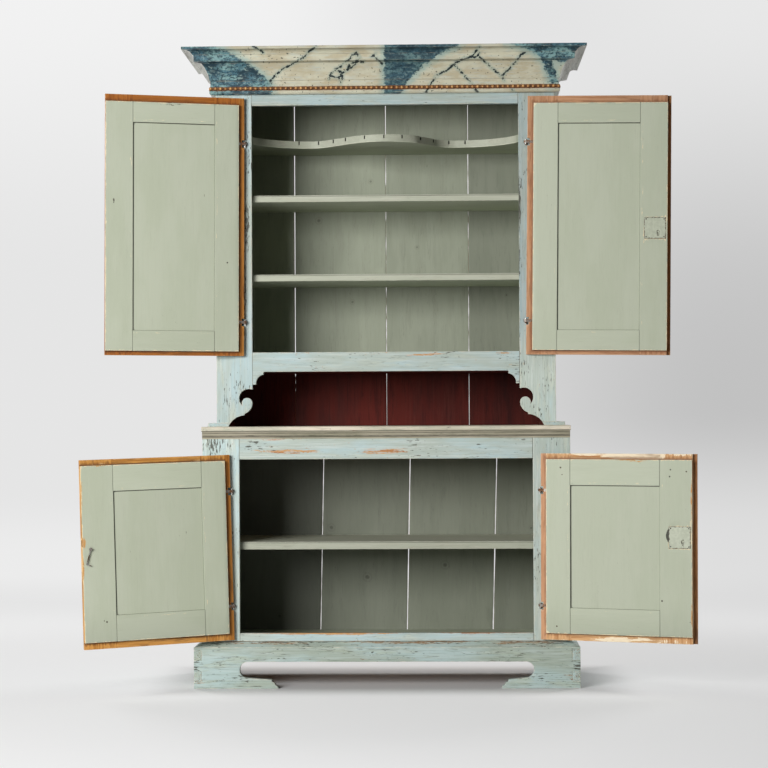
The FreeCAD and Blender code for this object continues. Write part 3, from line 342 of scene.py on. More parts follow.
# a darker copy of the waist paint for the moulding under its nose: its own paint and painted shade
mouldingPaintAndShade = agedPaint(
    "mouldingPaintAndShade", paint=(0.205, 0.190, 0.132), paintLight=(0.275, 0.250, 0.185),
    patchTint=(0.165, 0.160, 0.110), patches=0.5, streakTint=(0.34, 0.31, 0.24),
    hairTint=(0.110, 0.100, 0.066), hairs=0.5, rimWidth=0.0016, rimShow=0.45, rim=(0.42, 0.38, 0.30),
    chipFrom=0.80, speckFrom=0.74, ground=(0.30, 0.20, 0.14), wood=(0.30, 0.16, 0.09),
    woodDark=(0.15, 0.08, 0.05), relief=0.8)
doorPaint = agedPaint(
    "doorPaint", paint=(0.462, 0.497, 0.376), paintLight=(0.492, 0.524, 0.407),
    patchTint=(0.49, 0.515, 0.40), patches=0.22, streakTint=(0.52, 0.55, 0.435),
    hairTint=(0.41, 0.44, 0.32), streaks=0.14, hairs=0.20, rimWidth=0.0042, rimShow=0.85,
    rim=(0.80, 0.69, 0.46), chipFrom=0.87, speckFrom=0.80, relief=0.30, wood=(0.66, 0.36, 0.12),
    woodDark=(0.50, 0.22, 0.06), cracks=0.10, ground=(0.60, 0.47, 0.28), creaseWidth=0.0033,
    creaseDark=0.96, creaseTint=(0.030, 0.030, 0.020), speck=(0.16, 0.15, 0.11), scuffLift=0.42)
insidePaint = agedPaint(
    "insidePaint", paint=(0.385, 0.415, 0.315), paintLight=(0.435, 0.465, 0.360),
    patchTint=(0.34, 0.365, 0.28), patches=0.35, streakTint=(0.44, 0.465, 0.365),
    hairTint=(0.32, 0.345, 0.26), streaks=0.20, hairs=0.25, rimWidth=0.0014, rim=(0.52, 0.53, 0.43),
    chipFrom=0.85, speckFrom=0.80, relief=0.5, speck=(0.13, 0.13, 0.10), cracks=0.25)
# a lighter copy of the inside paint for the shelves' fronts and tops: painted light
shelfPaintWithPaintedLight = agedPaint(
    "shelfPaintWithPaintedLight", paint=(0.45, 0.47, 0.365), paintLight=(0.51, 0.525, 0.42), patchTint=(0.50, 0.47, 0.37),
    patches=0.4, streakTint=(0.58, 0.58, 0.48), hairTint=(0.34, 0.355, 0.26), rimWidth=0.0016,
    rim=(0.64, 0.63, 0.53), chipFrom=0.84, speckFrom=0.79, cracks=0.3, speck=(0.10, 0.095, 0.07),
    creaseWidth=0.0030, creaseDark=0.92, creaseTint=(0.035, 0.035, 0.025))
nichePaint = agedPaint(
    "nichePaint", paint=(0.086, 0.0118, 0.0082), paintLight=(0.128, 0.0175, 0.012),
    patchTint=(0.045, 0.009, 0.008), patches=0.5, streakTint=(0.135, 0.032, 0.022),
    hairTint=(0.030, 0.006, 0.005), streaks=0.45, hairs=0.5, rimWidth=0.0010, rim=(0.14, 0.05, 0.035),
    chipFrom=0.88, speckFrom=0.81, speck=(0.02, 0.008, 0.007), relief=0.5, rough=0.55, gloss=0.10,
    cracks=0.4, ground=(0.16, 0.05, 0.035), wood=(0.24, 0.09, 0.05), woodDark=(0.14, 0.045, 0.025))
# the grey of the cornice returns is made lighter than its own paint, as painted light, since they get
# little light
greyPaintWithPaintedLight = agedPaint(
    "greyPaintWithPaintedLight", paint=(0.60, 0.60, 0.565), paintLight=(0.75, 0.745, 0.70), patchTint=(0.42, 0.39, 0.35),
    patches=0.6, streakTint=(0.78, 0.77, 0.73), hairTint=(0.26, 0.25, 0.235), streaks=0.7, hairs=0.6,
    rimWidth=0.0040, rim=(0.72, 0.71, 0.67), chipFrom=0.77, speckFrom=0.72)


woodDefaults = {
    "edgeShow": 0.7,                                      # how pale its arrises are rubbed
    "pale": (0.66, 0.36, 0.12),
    "paleFrom": 0.76,                                     # the lower, the more of it is pale
    "stain": (0.10, 0.036, 0.012),
    "stainShow": 0.6,
}


def bareWood(name, **changes):
    # planed pine that was never painted, darkened by handling, and along its creases by painted shade
    look = {**woodDefaults, **changes}
    finish, tree, shader = newFinish(name, 0.62, 0.28)
    coord = attributeOf(tree, "boardCoord", "Vector")
    arris, scuff, crease = attributesOf(tree, "arris", "scuff", "crease")
    wood, ring, fine = pineOf(coord, look["light"], look["dark"])
    ragged = noiseOf(coord, (0.040, 0.006, 0.006), 4, 0.65)
    wood = tint(band(ragged - arris * 55.0, 0.30, 0.62, 0.0, look["edgeShow"]), wood, look["edge"])
    pale = noiseOf(coord, (0.075, 0.010, 0.010), 4, 0.7, 0.2, (5.0, 1.0, 2.0))
    bare = band(pale + scuff * 0.30, look["paleFrom"], look["paleFrom"] + 0.06, 0.0, 0.9)
    wood = tint(bare, wood, look["pale"])
    stain = noiseOf(coord, (0.12, 0.02, 0.02), 3, 0.6, 0.0, (1.0, 4.0, 2.0))
    # stain, and painted shade along the creases where the lip meets the raised field
    soak = crease + (pale - 0.5) * 0.030
    for stainAndShade in (band(stain, 0.56, 0.76, 0.0, look["stainShow"]), band(soak, 0.003, 0.012, 0.62, 0.0),
                  band(crease, 0.0012, 0.0040, 0.85, 0.0)):
        wood = tint(stainAndShade, wood, look["stain"])
    feed(shader, Base_Color=wood, Roughness=band(ring, 0.3, 0.7, 0.52, 0.70),
         Normal=bumpOf(ring * 0.7 + fine * 0.4, 0.0006, 0.6))
    return finish


goldenLip = bareWood(
    "goldenLip", light=(0.410, 0.138, 0.020), dark=(0.240, 0.064, 0.007), edge=(0.56, 0.27, 0.085),
    edgeShow=0.6, paleFrom=0.80, stainShow=0.75)
brownLip = bareWood(
    "brownLip", light=(0.480, 0.197, 0.035), dark=(0.280, 0.092, 0.012), edge=(0.56, 0.29, 0.10),
    edgeShow=0.6, paleFrom=0.80, stainShow=0.75)
amberLip = bareWood(
    "amberLip", light=(0.66, 0.320, 0.078), dark=(0.40, 0.150, 0.022), edge=(0.66, 0.40, 0.18),
    pale=(0.78, 0.50, 0.22), paleFrom=0.74, stain=(0.11, 0.045, 0.018), stainShow=0.75)
rosyLip = bareWood(
    "rosyLip", light=(0.58, 0.310, 0.163), dark=(0.41, 0.185, 0.085), edge=(0.66, 0.42, 0.27),
    pale=(0.86, 0.68, 0.47), stain=(0.20, 0.085, 0.040))
creamLip = bareWood(
    "creamLip", light=(0.70, 0.41, 0.19), dark=(0.48, 0.22, 0.080), edge=(0.88, 0.70, 0.46),
    edgeShow=0.85, pale=(0.93, 0.80, 0.58), paleFrom=0.70, stain=(0.22, 0.095, 0.038))
darkStrip = bareWood(
    "darkStrip", light=(0.42, 0.185, 0.062), dark=(0.22, 0.080, 0.024), edge=(0.60, 0.34, 0.15),
    pale=(0.66, 0.38, 0.17), stain=(0.05, 0.022, 0.012))
agedPine = bareWood(
    "agedPine", light=(0.335, 0.200, 0.105), dark=(0.190, 0.095, 0.042), edge=(0.40, 0.26, 0.15),
    edgeShow=0.4, pale=(0.42, 0.29, 0.17), paleFrom=0.74, stain=(0.10, 0.06, 0.035))


# irons and gilding
def forgedIron(name, iron, rust, metal, rough):
    finish, tree, shader = newFinish(name, 0.45, 0.5, metal)
    place = ownCoord(tree)
    pits = noiseOf(place, (0.004,) * 3, 4, 0.6)
    rusted = noiseOf(place, (0.012,) * 3, 3, 0.6)
    feed(shader, Base_Color=tint(band(rusted, 0.44, 0.58), iron, rust),
         Roughness=band(rusted, 0.42, 0.68, rough, 0.75), Normal=bumpOf(pits, 0.0004, 0.7))
    return finish


wroughtIron = forgedIron("wroughtIron", iron=(0.190, 0.170, 0.150), rust=(0.140, 0.068, 0.032),
                         metal=0.6, rough=0.28)
brightIron = forgedIron("brightIron", iron=(0.38, 0.365, 0.34), rust=(0.095, 0.055, 0.034),
                        metal=0.8, rough=0.26)
darkIron = forgedIron("darkIron", iron=(0.035, 0.03, 0.025), rust=(0.06, 0.035, 0.02),
                      metal=0.3, rough=0.5)


def paintedIronFinish():
    # the lock plates were painted over with the doors
    finish, tree, shader = newFinish("paintedIron", 0.5, 0.4)
    place = ownCoord(tree)
    lumps = noiseOf(place, (0.010,) * 3, 4, 0.6)
    paint = tint(band(lumps, 0.35, 0.65), (0.44, 0.47, 0.36), (0.52, 0.55, 0.43))
    chips = noiseOf(place, (0.006,) * 3, 4, 0.7, 0.2)
    worn = band(chips - attributeOf(tree, "arris") * 70.0, 0.34, 0.44)
    worn = larger(worn, band(chips, 0.70, 0.74))
    feed(shader, Base_Color=tint(worn, paint, (0.07, 0.055, 0.04)),
         Normal=bumpOf(lumps - worn * 0.5, 0.0005, 0.6))
    return finish


def gildedFinish():
    # rubbed gilding with painted light: a painted highlight on the upper crown of each bead, and dark
    # red-brown in the hollows that is partly bole and partly painted shade
    finish, tree, shader = newFinish("rubbedGiltAndHighlight", 0.45, 0.4, 0.2)
    rub = noiseOf(ownCoord(tree), (0.030, 0.020, 0.020), 4, 0.65)
    level = attributeOf(tree, "crown") + rub * 0.8
    colour = tint(band(level, 0.70, 1.25), (0.072, 0.024, 0.009), (0.34, 0.155, 0.044))
    colour = tint(band(level, 1.25, 1.50), colour, (0.72, 0.44, 0.18))
    feed(shader, Base_Color=colour, Roughness=band(rub, 0.35, 0.7, 0.34, 0.6))
    return finish


paintedIron = paintedIronFinish()
rubbedGiltAndHighlight = gildedFinish()


# marbled paint of the cornice
def marbledFinish(look):
    # cream ground, blue clouds with ragged sides, and dark jagged veins
    finish, tree, shader = newFinish("marbledPaint", 0.5, 0.2)
    lay = attributeOf(tree, "layout", "Vector")
    cloud, vein, arris, bole, crease = attributesOf(tree, "cloud", "vein", "arris", "bole", "crease")
    soft = noiseOf(lay, (0.09, 0.035, 0.035), 4, 0.6)
    fine = noiseOf(lay, (0.060, 0.008, 0.008), 4, 0.65)
    grit = noiseOf(lay, (0.016, 0.010, 0.010), 4, 0.72)
    ground = tint(band(soft, 0.40, 0.62), look["cream"], look["buff"])
    ground = tint(band(fine, 0.50, 0.68, 0.0, 0.6), ground, look["bluish"])
    ground = tint(band(grit, 0.60, 0.72, 0.0, 0.35), ground, look["halo"])
    # cloud is the way into a blue patch, in metres; its border wanders a little
    inward = cloud + (grit - 0.5) * 0.040 + (fine - 0.5) * 0.008
    hatch = noiseOf(lay, (0.013, 0.009, 0.009), 4, 0.75, 0.4, (6.0, 2.0, 3.0))
    cast = noiseOf(lay, (0.045, 0.040, 0.040), 3, 0.6, 0.3, (2.0, 7.0, 5.0))
    blue = tint(band(cast, 0.40, 0.60), look["navy"], look["blue"])
    blue = tint(band(soft, 0.46, 0.60, 0.0, 0.8), blue, look["teal"])
    blue = tint(band(fine, 0.55, 0.66, 0.0, 0.40), blue, look["skim"])
    blue = tint(band(hatch, 0.42, 0.50, 0.90, 0.0), blue, look["navy"])
    blue = tint(band(hatch, 0.56, 0.64, 0.0, 0.60), blue, look["skim"])
    across = axesOf(lay)[0]
    middle = smaller(band(across, 4.75, 5.02), band(across, 5.27, 5.42, 1.0, 0.0))
    blue = tint(middle * 0.5, blue, look["navy"])
    colour = tint(band(inward, -0.028, 0.002, 0.0, 0.6), ground, look["teal"])
    colour = tint(band(inward, -0.0015, 0.0035), colour, blue)
    # a vein is a dark line that swells and thins, with a teal shadow beside it
    swell = noiseOf(lay, (0.014, 0.014, 0.014), 3, 0.6, 0.0, (2.0, 0.0, 0.0))
    width = band(swell, 0.36, 0.64, 0.0006, 0.0042)
    shiver = noiseOf(lay, (0.0060, 0.0045, 0.0045), 2, 0.6, 0.0, (3.0, 0.0, 6.0))
    shake = (grit + shiver - 1.0) * 0.008
    gap = width - (vein + shake)
    colour = tint(band(gap, -0.0085, 0.0, 0.0, 0.50), colour, look["halo"])
    colour = tint(band(gap, -0.0003, 0.0006), colour, look["ink"])
    dots = noiseOf(lay, (0.0085, 0.0070, 0.0070), 1, 0.4, 0.0, (9.0, 3.0, 1.0))
    herd = noiseOf(lay, (0.10, 0.05, 0.05), 2, 0.5, 0.0, (4.0, 8.0, 2.0))
    colour = tint(band(dots + herd * 0.30, 0.845, 0.875, 0.0, 0.85), colour, look["ink"])
    rub = noiseOf(lay, (0.040, 0.004, 0.004), 4, 0.7)
    colour = tint(band(rub - arris * 130.0, 0.42, 0.52, 0.0, 0.65), colour, look["worn"])
    colour = tint(band(crease, 0.0010, 0.0030, 0.75, 0.0), colour, look["dirt"])
    colour = tint(band(bole + rub * 0.5, 0.55, 0.80), colour, look["bole"])
    feed(shader, Base_Color=colour, Roughness=band(soft, 0.3, 0.7, 0.42, 0.60),
         Normal=bumpOf(fine + grit, 0.0005, 0.4))
    return finish


marbling = {
    "cream": (0.545, 0.530, 0.405), "buff": (0.450, 0.400, 0.275), "bluish": (0.445, 0.490, 0.455),
    "navy": (0.015, 0.038, 0.052), "blue": (0.056, 0.140, 0.180), "teal": (0.215, 0.375, 0.365),
    "skim": (0.34, 0.45, 0.41), "halo": (0.225, 0.315, 0.275), "ink": (0.012, 0.020, 0.021),
    "worn": (0.37, 0.34, 0.27), "bole": (0.165, 0.058, 0.020), "dirt": (0.085, 0.065, 0.048),
    "eye": (0.180, -6.965, 0.882),                        # where the painter stood back to look
    # veins in metres, across from the middle of the case and above the floor
    "veins": [
        [(-0.437, 2.108), (-0.423, 2.103), (-0.399, 2.087)],
        [(-0.379, 1.989), (-0.358, 2.012), (-0.335, 2.033), (-0.322, 2.038), (-0.287, 2.057),
         (-0.262, 2.073), (-0.249, 2.089), (-0.225, 2.106)],
        [(-0.183, 1.996), (-0.176, 2.013), (-0.160, 2.029), (-0.143, 2.037), (-0.128, 2.054),
         (-0.113, 2.062), (-0.107, 2.075), (-0.091, 2.085)],
        [(-0.143, 1.981), (-0.150, 2.002), (-0.140, 2.016), (-0.121, 2.026), (-0.113, 2.047),
         (-0.094, 2.053), (-0.080, 2.065), (-0.090, 2.080)],
        [(-0.180, 2.009), (-0.163, 2.004), (-0.150, 2.002), (-0.137, 1.996), (-0.142, 2.019),
         (-0.156, 2.026)],
        [(-0.123, 2.025), (-0.104, 2.038), (-0.087, 2.055), (-0.067, 2.053)],
        [(-0.042, 2.068), (-0.027, 2.081)],
        [(-0.034, 2.071), (-0.019, 2.059), (-0.006, 2.045)],
        [(0.133, 1.944), (0.140, 1.957), (0.159, 1.986), (0.173, 2.004), (0.188, 2.014), (0.208, 2.023),
         (0.232, 2.045), (0.253, 2.056), (0.272, 2.061), (0.285, 2.066), (0.302, 2.082), (0.314, 2.099)],
        [(0.285, 2.066), (0.302, 2.064), (0.314, 2.080)],
        [(0.232, 2.045), (0.239, 2.030), (0.256, 2.013), (0.269, 1.998), (0.285, 1.979), (0.306, 1.950)],
        [(0.314, 2.064), (0.331, 2.049), (0.352, 2.032), (0.367, 2.016), (0.386, 2.002), (0.396, 1.985)],
        [(0.386, 2.002), (0.400, 2.014), (0.415, 2.027), (0.427, 2.043), (0.439, 2.055), (0.447, 2.069),
         (0.464, 2.079)],
        [(0.420, 1.956), (0.433, 1.944)],
    ],
    # blue clouds as outlines, in the same measures
    "clouds": [
        [(-0.80, 2.13), (-0.575, 2.13), (-0.563, 2.112), (-0.540, 2.102), (-0.505, 2.085), (-0.464, 2.060),
         (-0.423, 2.031), (-0.388, 2.001), (-0.370, 1.972), (-0.368, 1.930), (-0.80, 1.930)],
        [(0.000, 2.13), (0.262, 2.13), (0.245, 2.103), (0.187, 2.078), (0.137, 2.045), (0.095, 2.006),
         (0.064, 1.966), (0.048, 1.930), (-0.001, 1.930)],
        [(0.400, 2.115), (0.466, 2.090), (0.502, 2.072), (0.524, 2.041), (0.541, 1.992), (0.549, 1.970),
         (0.572, 1.975), (0.563, 2.020), (0.553, 2.052), (0.585, 2.046), (0.680, 2.060), (0.680, 2.13),
         (0.400, 2.13)],
    ],
}
marbledPaint = marbledFinish(marbling)
print("finishes mixed:", len(bpy.data.materials))


# boards: the solids with eased arrises, a grain direction and wear
def solidsOf(nodeName):
    # a node's closed solids one by one, each as points and triangles
    mesh = nodes[nodeName].data
    found, points, faces, index, waiting = [], [], [], {}, set()
    for polygon in mesh.polygons:
        corners = []
        for v in polygon.vertices:
            place = mesh.vertices[v].co
            key = tuple(round(c * 1e5) for c in place)
            if key not in index:
                index[key] = len(points)
                points.append(place.copy())
            corners.append(index[key])
        if len(set(corners)) < 3:
            continue
        faces.append(corners)
        for a, b in zip(corners, corners[1:] + corners[:1]):
            if (b, a) in waiting:
                waiting.remove((b, a))
            else:
                waiting.add((a, b))
        if not waiting:
            found.append((points, faces))
            points, faces, index = [], [], {}
    if faces:
        found.append((points, faces))
    return found


def cutPlanes(low, high, spacing, extra):
    # where a solid is cut along one axis, closer together near its ends
    size = high - low
    marks = set()
    for inset in (0.003, 0.008, 0.018):
        if size > inset * 4:
            marks.add(round(low + inset, 5))
            marks.add(round(high - inset, 5))
    count = int(size / spacing)
    for i in range(1, count + 1):
        marks.add(round(low + size * i / (count + 1), 5))
    marks.update(round(m, 5) for m in extra if low + 0.001 < m < high - 0.001)
    return sorted(marks)


def distanceTo(points, segments):
    # shortest way from each point to any of the segments
    best = np.full(len(points), 9.0)
    for a, b in segments:
        a, b = np.array(a), np.array(b)
        line = b - a
        length = max(line @ line, 1e-12)
        t = np.clip(((points - a) @ line) / length, 0, 1)
        gap = points - a - t[:, None] * line
        best = np.minimum(best, np.sqrt((gap ** 2).sum(1)))
    return best


seam = 2e-4                                               # an edge this near an end face lies in it
farOff = 0.06                                             # past this way arris and crease don't tell


def nearestOf(places, segments):
    return np.minimum(distanceTo(places, segments), farOff) if segments else np.full(len(places), farOff)


def roundedSolid(points, faces, make):
    # one solid, in its own upright position: arrises eased, then cut into a fine net
    net = bmesh.new()
    corners = [net.verts.new(p) for p in points]
    for face in faces:
        try:
            net.faces.new([corners[i] for i in face])
        except ValueError:
            pass
    bmesh.ops.dissolve_limit(net, angle_limit=math.radians(0.6), verts=net.verts, edges=net.edges)
    low = [min(p[i] for p in points) for i in range(3)]
    high = [max(p[i] for p in points) for i in range(3)]
    free, butted, sharp = [], [], []
    for edge in net.edges:
        if len(edge.link_faces) != 2 or edge.calc_face_angle(0.0) < math.radians(25):
            continue
        sharp.append(edge)
        a, b = (tuple(vertex.co) for vertex in edge.verts)
        closed = any(abs(a[axis] - end) < seam and abs(b[axis] - end) < seam
                     for axis in make["butted"] for end in (low[axis], high[axis]))
        (butted if closed else free).append((a, b))
    if make["ease"] > 0 and sharp:
        bmesh.ops.bevel(net, geom=sharp, offset=make["ease"], offset_type="OFFSET", segments=make["turns"],
                        profile=0.5, affect="EDGES", clamp_overlap=True)
    order = sorted(range(3), key=lambda i: low[i] - high[i])
    spacings = dict(zip(order, make["net"]))
    for axis in range(3):
        normal = [0, 0, 0]
        normal[axis] = 1
        for mark in cutPlanes(low[axis], high[axis], spacings[axis], make["marks"].get(axis, ())):
            spot = [0, 0, 0]
            spot[axis] = mark
            bmesh.ops.bisect_plane(net, geom=net.verts[:] + net.edges[:] + net.faces[:], dist=1e-6,
                                   plane_co=spot, plane_no=normal)
    net.verts.index_update()
    net.normal_update()
    places = np.array([v.co for v in net.verts])
    normals = np.array([v.normal for v in net.verts])
    arris, crease = nearestOf(places, free), nearestOf(places, butted)
    shift = [make["rolls"].uniform(0, 20) for _ in range(3)]
    grain = np.stack([places[:, order[i]] + shift[i] for i in range(3)], 1)
    if make["worn"] > 0:                                  # arrises knocked back a little, here and there
        for i in range(len(places)):
            if arris[i] < make["ease"] * 1.3:
                spot = Vector(grain[i])
                dent = max(0.0, noise.noise(spot * 45.0) + 0.5 * noise.noise(spot * 160.0))
                places[i] -= normals[i] * dent * make["worn"]
    quads = [[v.index for v in f.verts] for f in net.faces]
    centres = [(f.calc_center_median(), f.normal.copy()) for f in net.faces]
    net.free()
    return places, quads, centres, arris, crease, grain


makeDefaults = {
    "ease": 0.0011,                                       # radius of the arrises, metres
    "turns": 2,
    "net": (0.060, 0.045, 0.030),                         # cell size along, across and through
    "worn": 0.0005,
    "butted": (),                                         # axes whose end faces meet another board
    "marks": {},
    "scuffs": [],                                         # (x, z, half width, half height, strength)
    "shade": 1.0,                                         # brightness of this piece's paint, with painted light and shade
    "spread": 0.06,                                       # and how much its boards differ
    "flecks": [],                                         # dirty, crackled places, written like scuffs
    "knots": [],                                          # (x, z, radius)
    "creases": None,                                      # own lines of dirt, as a distance to them
    "fade": None,                                         # painted light and shade from place to place
    "quiet": None,                                        # where arrises meet a neighbour and aren't rubbed
    "reshape": None,                                      # moves points a little before the piece is placed
}


def addLayer(mesh, label, values):
    # one value or one vector for each point
    values = np.asarray(values, np.float32)
    kind, part = ("FLOAT_VECTOR", "vector") if values.ndim == 2 else ("FLOAT", "value")
    mesh.attributes.new(label, kind, "POINT").data.foreach_set(part, values.ravel())


def placesOf(mesh):
    places = np.empty(len(mesh.vertices) * 3, np.float32)
    mesh.vertices.foreach_get("co", places)
    return places.reshape(-1, 3)


smoothAngle = math.radians(28)


def closedPiece(name, places, faces, finishNumbers, finishes, layers):
    mesh = bpy.data.meshes.new(name)
    mesh.from_pydata([tuple(p) for p in places], [], faces)
    for finish in finishes:
        mesh.materials.append(finish)
    mesh.polygons.foreach_set("material_index", finishNumbers)
    for label, values in layers.items():
        addLayer(mesh, label, values)
    mesh.update()
    mesh.shade_smooth()
    mesh.set_sharp_from_angle(angle=smoothAngle)
    piece = bpy.data.objects.new(name, mesh)
    bpy.context.scene.collection.objects.link(piece)
    return piece


def scuffAt(place, scuffs):
    total = 0.0
    for x, z, wide, tall, strength in scuffs:
        away = ((place[0] - x) / wide) ** 2 + ((place[2] - z) / tall) ** 2
        total = max(total, strength * max(0.0, 1.0 - away))
    return total


def knotAt(place, knots):
    # 1 in the middle of a knot, 0 at its rim
    return max([1 - math.hypot(place[0] - x, place[2] - z) / radius for x, z, radius in knots] + [0.0])


def knotMarks(knots):
    # extra cuts through and round each knot
    marks = {0: [], 2: []}
    for x, z, radius in knots:
        for share in (-1, -0.66, -0.33, 0, 0.33, 0.66, 1):
            marks[0].append(x + radius * share)
            marks[2].append(z + radius * share)
    return marks


def dressed(name, nodeName, body, slotName, finishes, pick, stand=None, **changes):
    # replace one CAD node by its own solids with eased arrises and a finish for each face
    make = {**makeDefaults, **changes}
    make["rolls"] = random.Random(name)
    extra = knotMarks(make["knots"])
    make["marks"] = {axis: list(make["marks"].get(axis, ())) + extra.get(axis, []) for axis in range(3)}
    stand = stand or Matrix.Identity(4)
    upright = stand.inverted()
    allPlaces, allFaces, numbers, layers = [], [], [], {}
    start = 0
    for points, faces in solidsOf(nodeName):
        own = [upright @ p for p in points]
        places, quads, centres, arris, crease, grain = roundedSolid(own, faces, make)
        if make["creases"]:
            crease = np.minimum(crease, make["creases"](places))
        if make["quiet"]:
            arris = np.where(make["quiet"](places), farOff, arris)
        if make["reshape"]:
            places = make["reshape"](places)
        toneWithPaintedShade = make["shade"] * (1 - make["spread"] * make["rolls"].random())
        for label, values in (
                ("arris", arris), ("crease", crease), ("boardCoord", grain),
                ("boardToneWithPaintedShade", np.full(len(places), toneWithPaintedShade) * (make["fade"](places) if make["fade"] else 1)),
                ("scuff", [scuffAt(p, make["scuffs"]) for p in places]),
                ("fleck", [scuffAt(p, make["flecks"]) for p in places]),
                ("knot", [knotAt(p, make["knots"]) for p in places])):
            layers.setdefault(label, []).append(values)
        allFaces += [[i + start for i in quad] for quad in quads]
        numbers += [finishes.index(pick(centre, normal)) for centre, normal in centres]
        allPlaces.append(places)
        start += len(places)
    places = np.concatenate(allPlaces) @ np.array(stand.to_3x3()).T + np.array(stand.translation)
    piece = closedPiece(name, places, allFaces, numbers, finishes,
                        {label: np.concatenate(parts) for label, parts in layers.items()})
    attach(piece, body)
    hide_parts(nodeName)
    return piece


# the two cases
caseFinishes = [framePaint, insidePaint, nichePaint, agedPine, shelfPaintWithPaintedLight]
frameDepth = 0.0215                                       # the face frames end this far behind their face


def caseRule(shelf=insidePaint):
    # which finish a face of a case board has, from where it is and which way it looks
    def pick(centre, normal):
        across = abs(centre.x - caseX)
        low = centre.z < nicheFoot - 0.002
        inside = lowerInside if low else upperInside
        front = (baseFrameY if low else frameY) + frameDepth
        if centre.y > backY - 0.0005 and normal.y > -0.5:
            return agedPine
        if across < inside + 0.0004 and front < centre.y < backY + 0.0006:
            if centre.z > nicheFoot - 0.001 and centre.z < nicheHead + 0.0008:
                return nichePaint
            if 0.140 < centre.z < 1.975:
                # fronts and tops of shelves take the lighter copy of the paint: painted light on the faces
                # turned to the front and up
                return shelf if normal.y < -0.4 or normal.z > 0.6 else insidePaint
        if across < inside + 0.0004 and centre.y >= front:
            return agedPine
        if abs(normal.z) > 0.9 and (centre.z > 2.0 or centre.z < 0.153):
            return agedPine
        return framePaint
    return pick


# bare and dirty places: across from the case's middle, above the floor, half width and height, strength
baseScuffs = [
    # bare streaks under the waist and along the lower rail
    (-0.315, 0.770, 0.125, 0.0090, 1.15), (-0.255, 0.772, 0.060, 0.0095, 1.25),
    (-0.010, 0.768, 0.120, 0.0090, 1.20), (0.005, 0.771, 0.080, 0.0080, 1.3),
    (-0.360, 0.816, 0.190, 0.0095, 1.30), (-0.36, 0.812, 0.06, 0.012, 0.9),
    (-0.06, 0.817, 0.14, 0.0050, 0.8), (0.32, 0.817, 0.12, 0.0050, 0.7), (-0.43, 0.775, 0.03, 0.008, 0.8),
]
frameFlecks = [
    (-0.555, 0.792, 0.075, 0.040, 1.0), (-0.43, 0.795, 0.060, 0.030, 1.0), (-0.37, 0.782, 0.03, 0.02, 0.7),
    (-0.527, 0.935, 0.014, 0.075, 0.95), (-0.475, 0.985, 0.040, 0.030, 0.6),
    (-0.545, 0.880, 0.03, 0.03, 0.5), (-0.469, 1.26, 0.016, 0.16, 1.5), (-0.456, 1.52, 0.014, 0.12, 1.3),
    (-0.450, 1.75, 0.014, 0.09, 0.9), (0.441, 1.58, 0.016, 0.12, 1.5), (0.436, 1.36, 0.014, 0.12, 1.4),
    (0.434, 1.16, 0.012, 0.07, 0.8), (0.445, 1.045, 0.04, 0.05, 0.9), (0.53, 0.985, 0.035, 0.045, 0.6),
    (0.50, 0.905, 0.05, 0.030, 0.7), (0.20, 1.088, 0.06, 0.02, 0.7), (0.40, 1.088, 0.05, 0.02, 0.7),
    (-0.10, 1.090, 0.10, 0.02, 0.5), (0.30, 0.785, 0.03, 0.02, 0.6), (0.53, 0.800, 0.06, 0.03, 0.6),
    (0.455, 0.79, 0.02, 0.03, 0.6), (0.09, 0.795, 0.03, 0.03, 0.4), (-0.51, 0.45, 0.03, 0.25, 0.5),
    (0.50, 0.42, 0.03, 0.25, 0.4),
]
apronScuffs = [
    (0.14, 1.086, 0.10, 0.008, 0.85), (-0.05, 1.091, 0.12, 0.005, 0.6), (-0.30, 1.091, 0.08, 0.005, 0.55),
    (0.38, 1.089, 0.06, 0.006, 0.7), (0.27, 1.091, 0.05, 0.004, 0.7),
]


def movedScuffs(scuffs):
    # from the case's middle to the frame's own axis
    return [(x + caseX, z, wide, tall, strength) for x, z, wide, tall, strength in scuffs]


boardKnots = {
    # board, place across from the case's middle and above the floor, radius
    "upper": [(2, -0.125, 1.281, 0.008), (4, 0.409, 1.302, 0.006), (2, -0.241, 1.565, 0.011),
              (3, 0.10, 1.47, 0.007), (2, -0.06, 1.70, 0.008)],
    "lower": [(2, -0.202, 0.499, 0.012), (3, 0.191, 0.368, 0.013), (2, -0.078, 0.327, 0.014),
              (1, -0.384, 0.193, 0.010), (4, 0.490, 0.495, 0.008), (3, 0.06, 0.62, 0.008)],
}
stileCracks = {
    # across from the case's middle, foot and head above the floor
    "Left": [(-0.4690, 1.33, 1.56), (-0.4740, 1.24, 1.34), (-0.4600, 1.60, 1.70)],
    "Right": [(0.4400, 1.33, 1.75), (0.4350, 1.12, 1.24), (0.4440, 1.50, 1.62)],
}


crackBeside = (-0.004, -0.002, 0.0, 0.002, 0.004)         # cuts beside a crack, so that it stays narrow


def crackedStile(side):
    def creases(places):
        nearest = np.full(len(places), farOff)
        for x, foot, head in stileCracks[side]:
            for n, p in enumerate(places):
                if foot < p[2] < head and p[1] < frameY + 0.004:
                    sway = 0.003 * noise.noise(Vector((p[2] * 14.0, x * 90.0, 0.4)))
                    nearest[n] = min(nearest[n], abs(p[0] - caseX - x - sway))
        return nearest

    def fade(places):
        # the foot of the right stile catches more light than the rest of it
        return np.interp(places[:, 2], (1.02, 1.20), (1.45, 0.97)) if side == "Right" else 1.0
    lines = [caseX + x + beside for x, foot, head in stileCracks[side] for beside in crackBeside]
    return {"creases": creases, "marks": {0: lines}, "net": (0.022, 0.014, 0.030), "ease": 0.0009,
            "fade": fade}


backGaps = {
    # how far each gap between two back boards is open, and how much that wavers
    "upper": [(1.0, 0.16), (0.48, 0.75), (0.14, 0.90)],
    "lower": [(0.42, 0.30), (0.58, 0.28), (0.56, 0.30)],
}


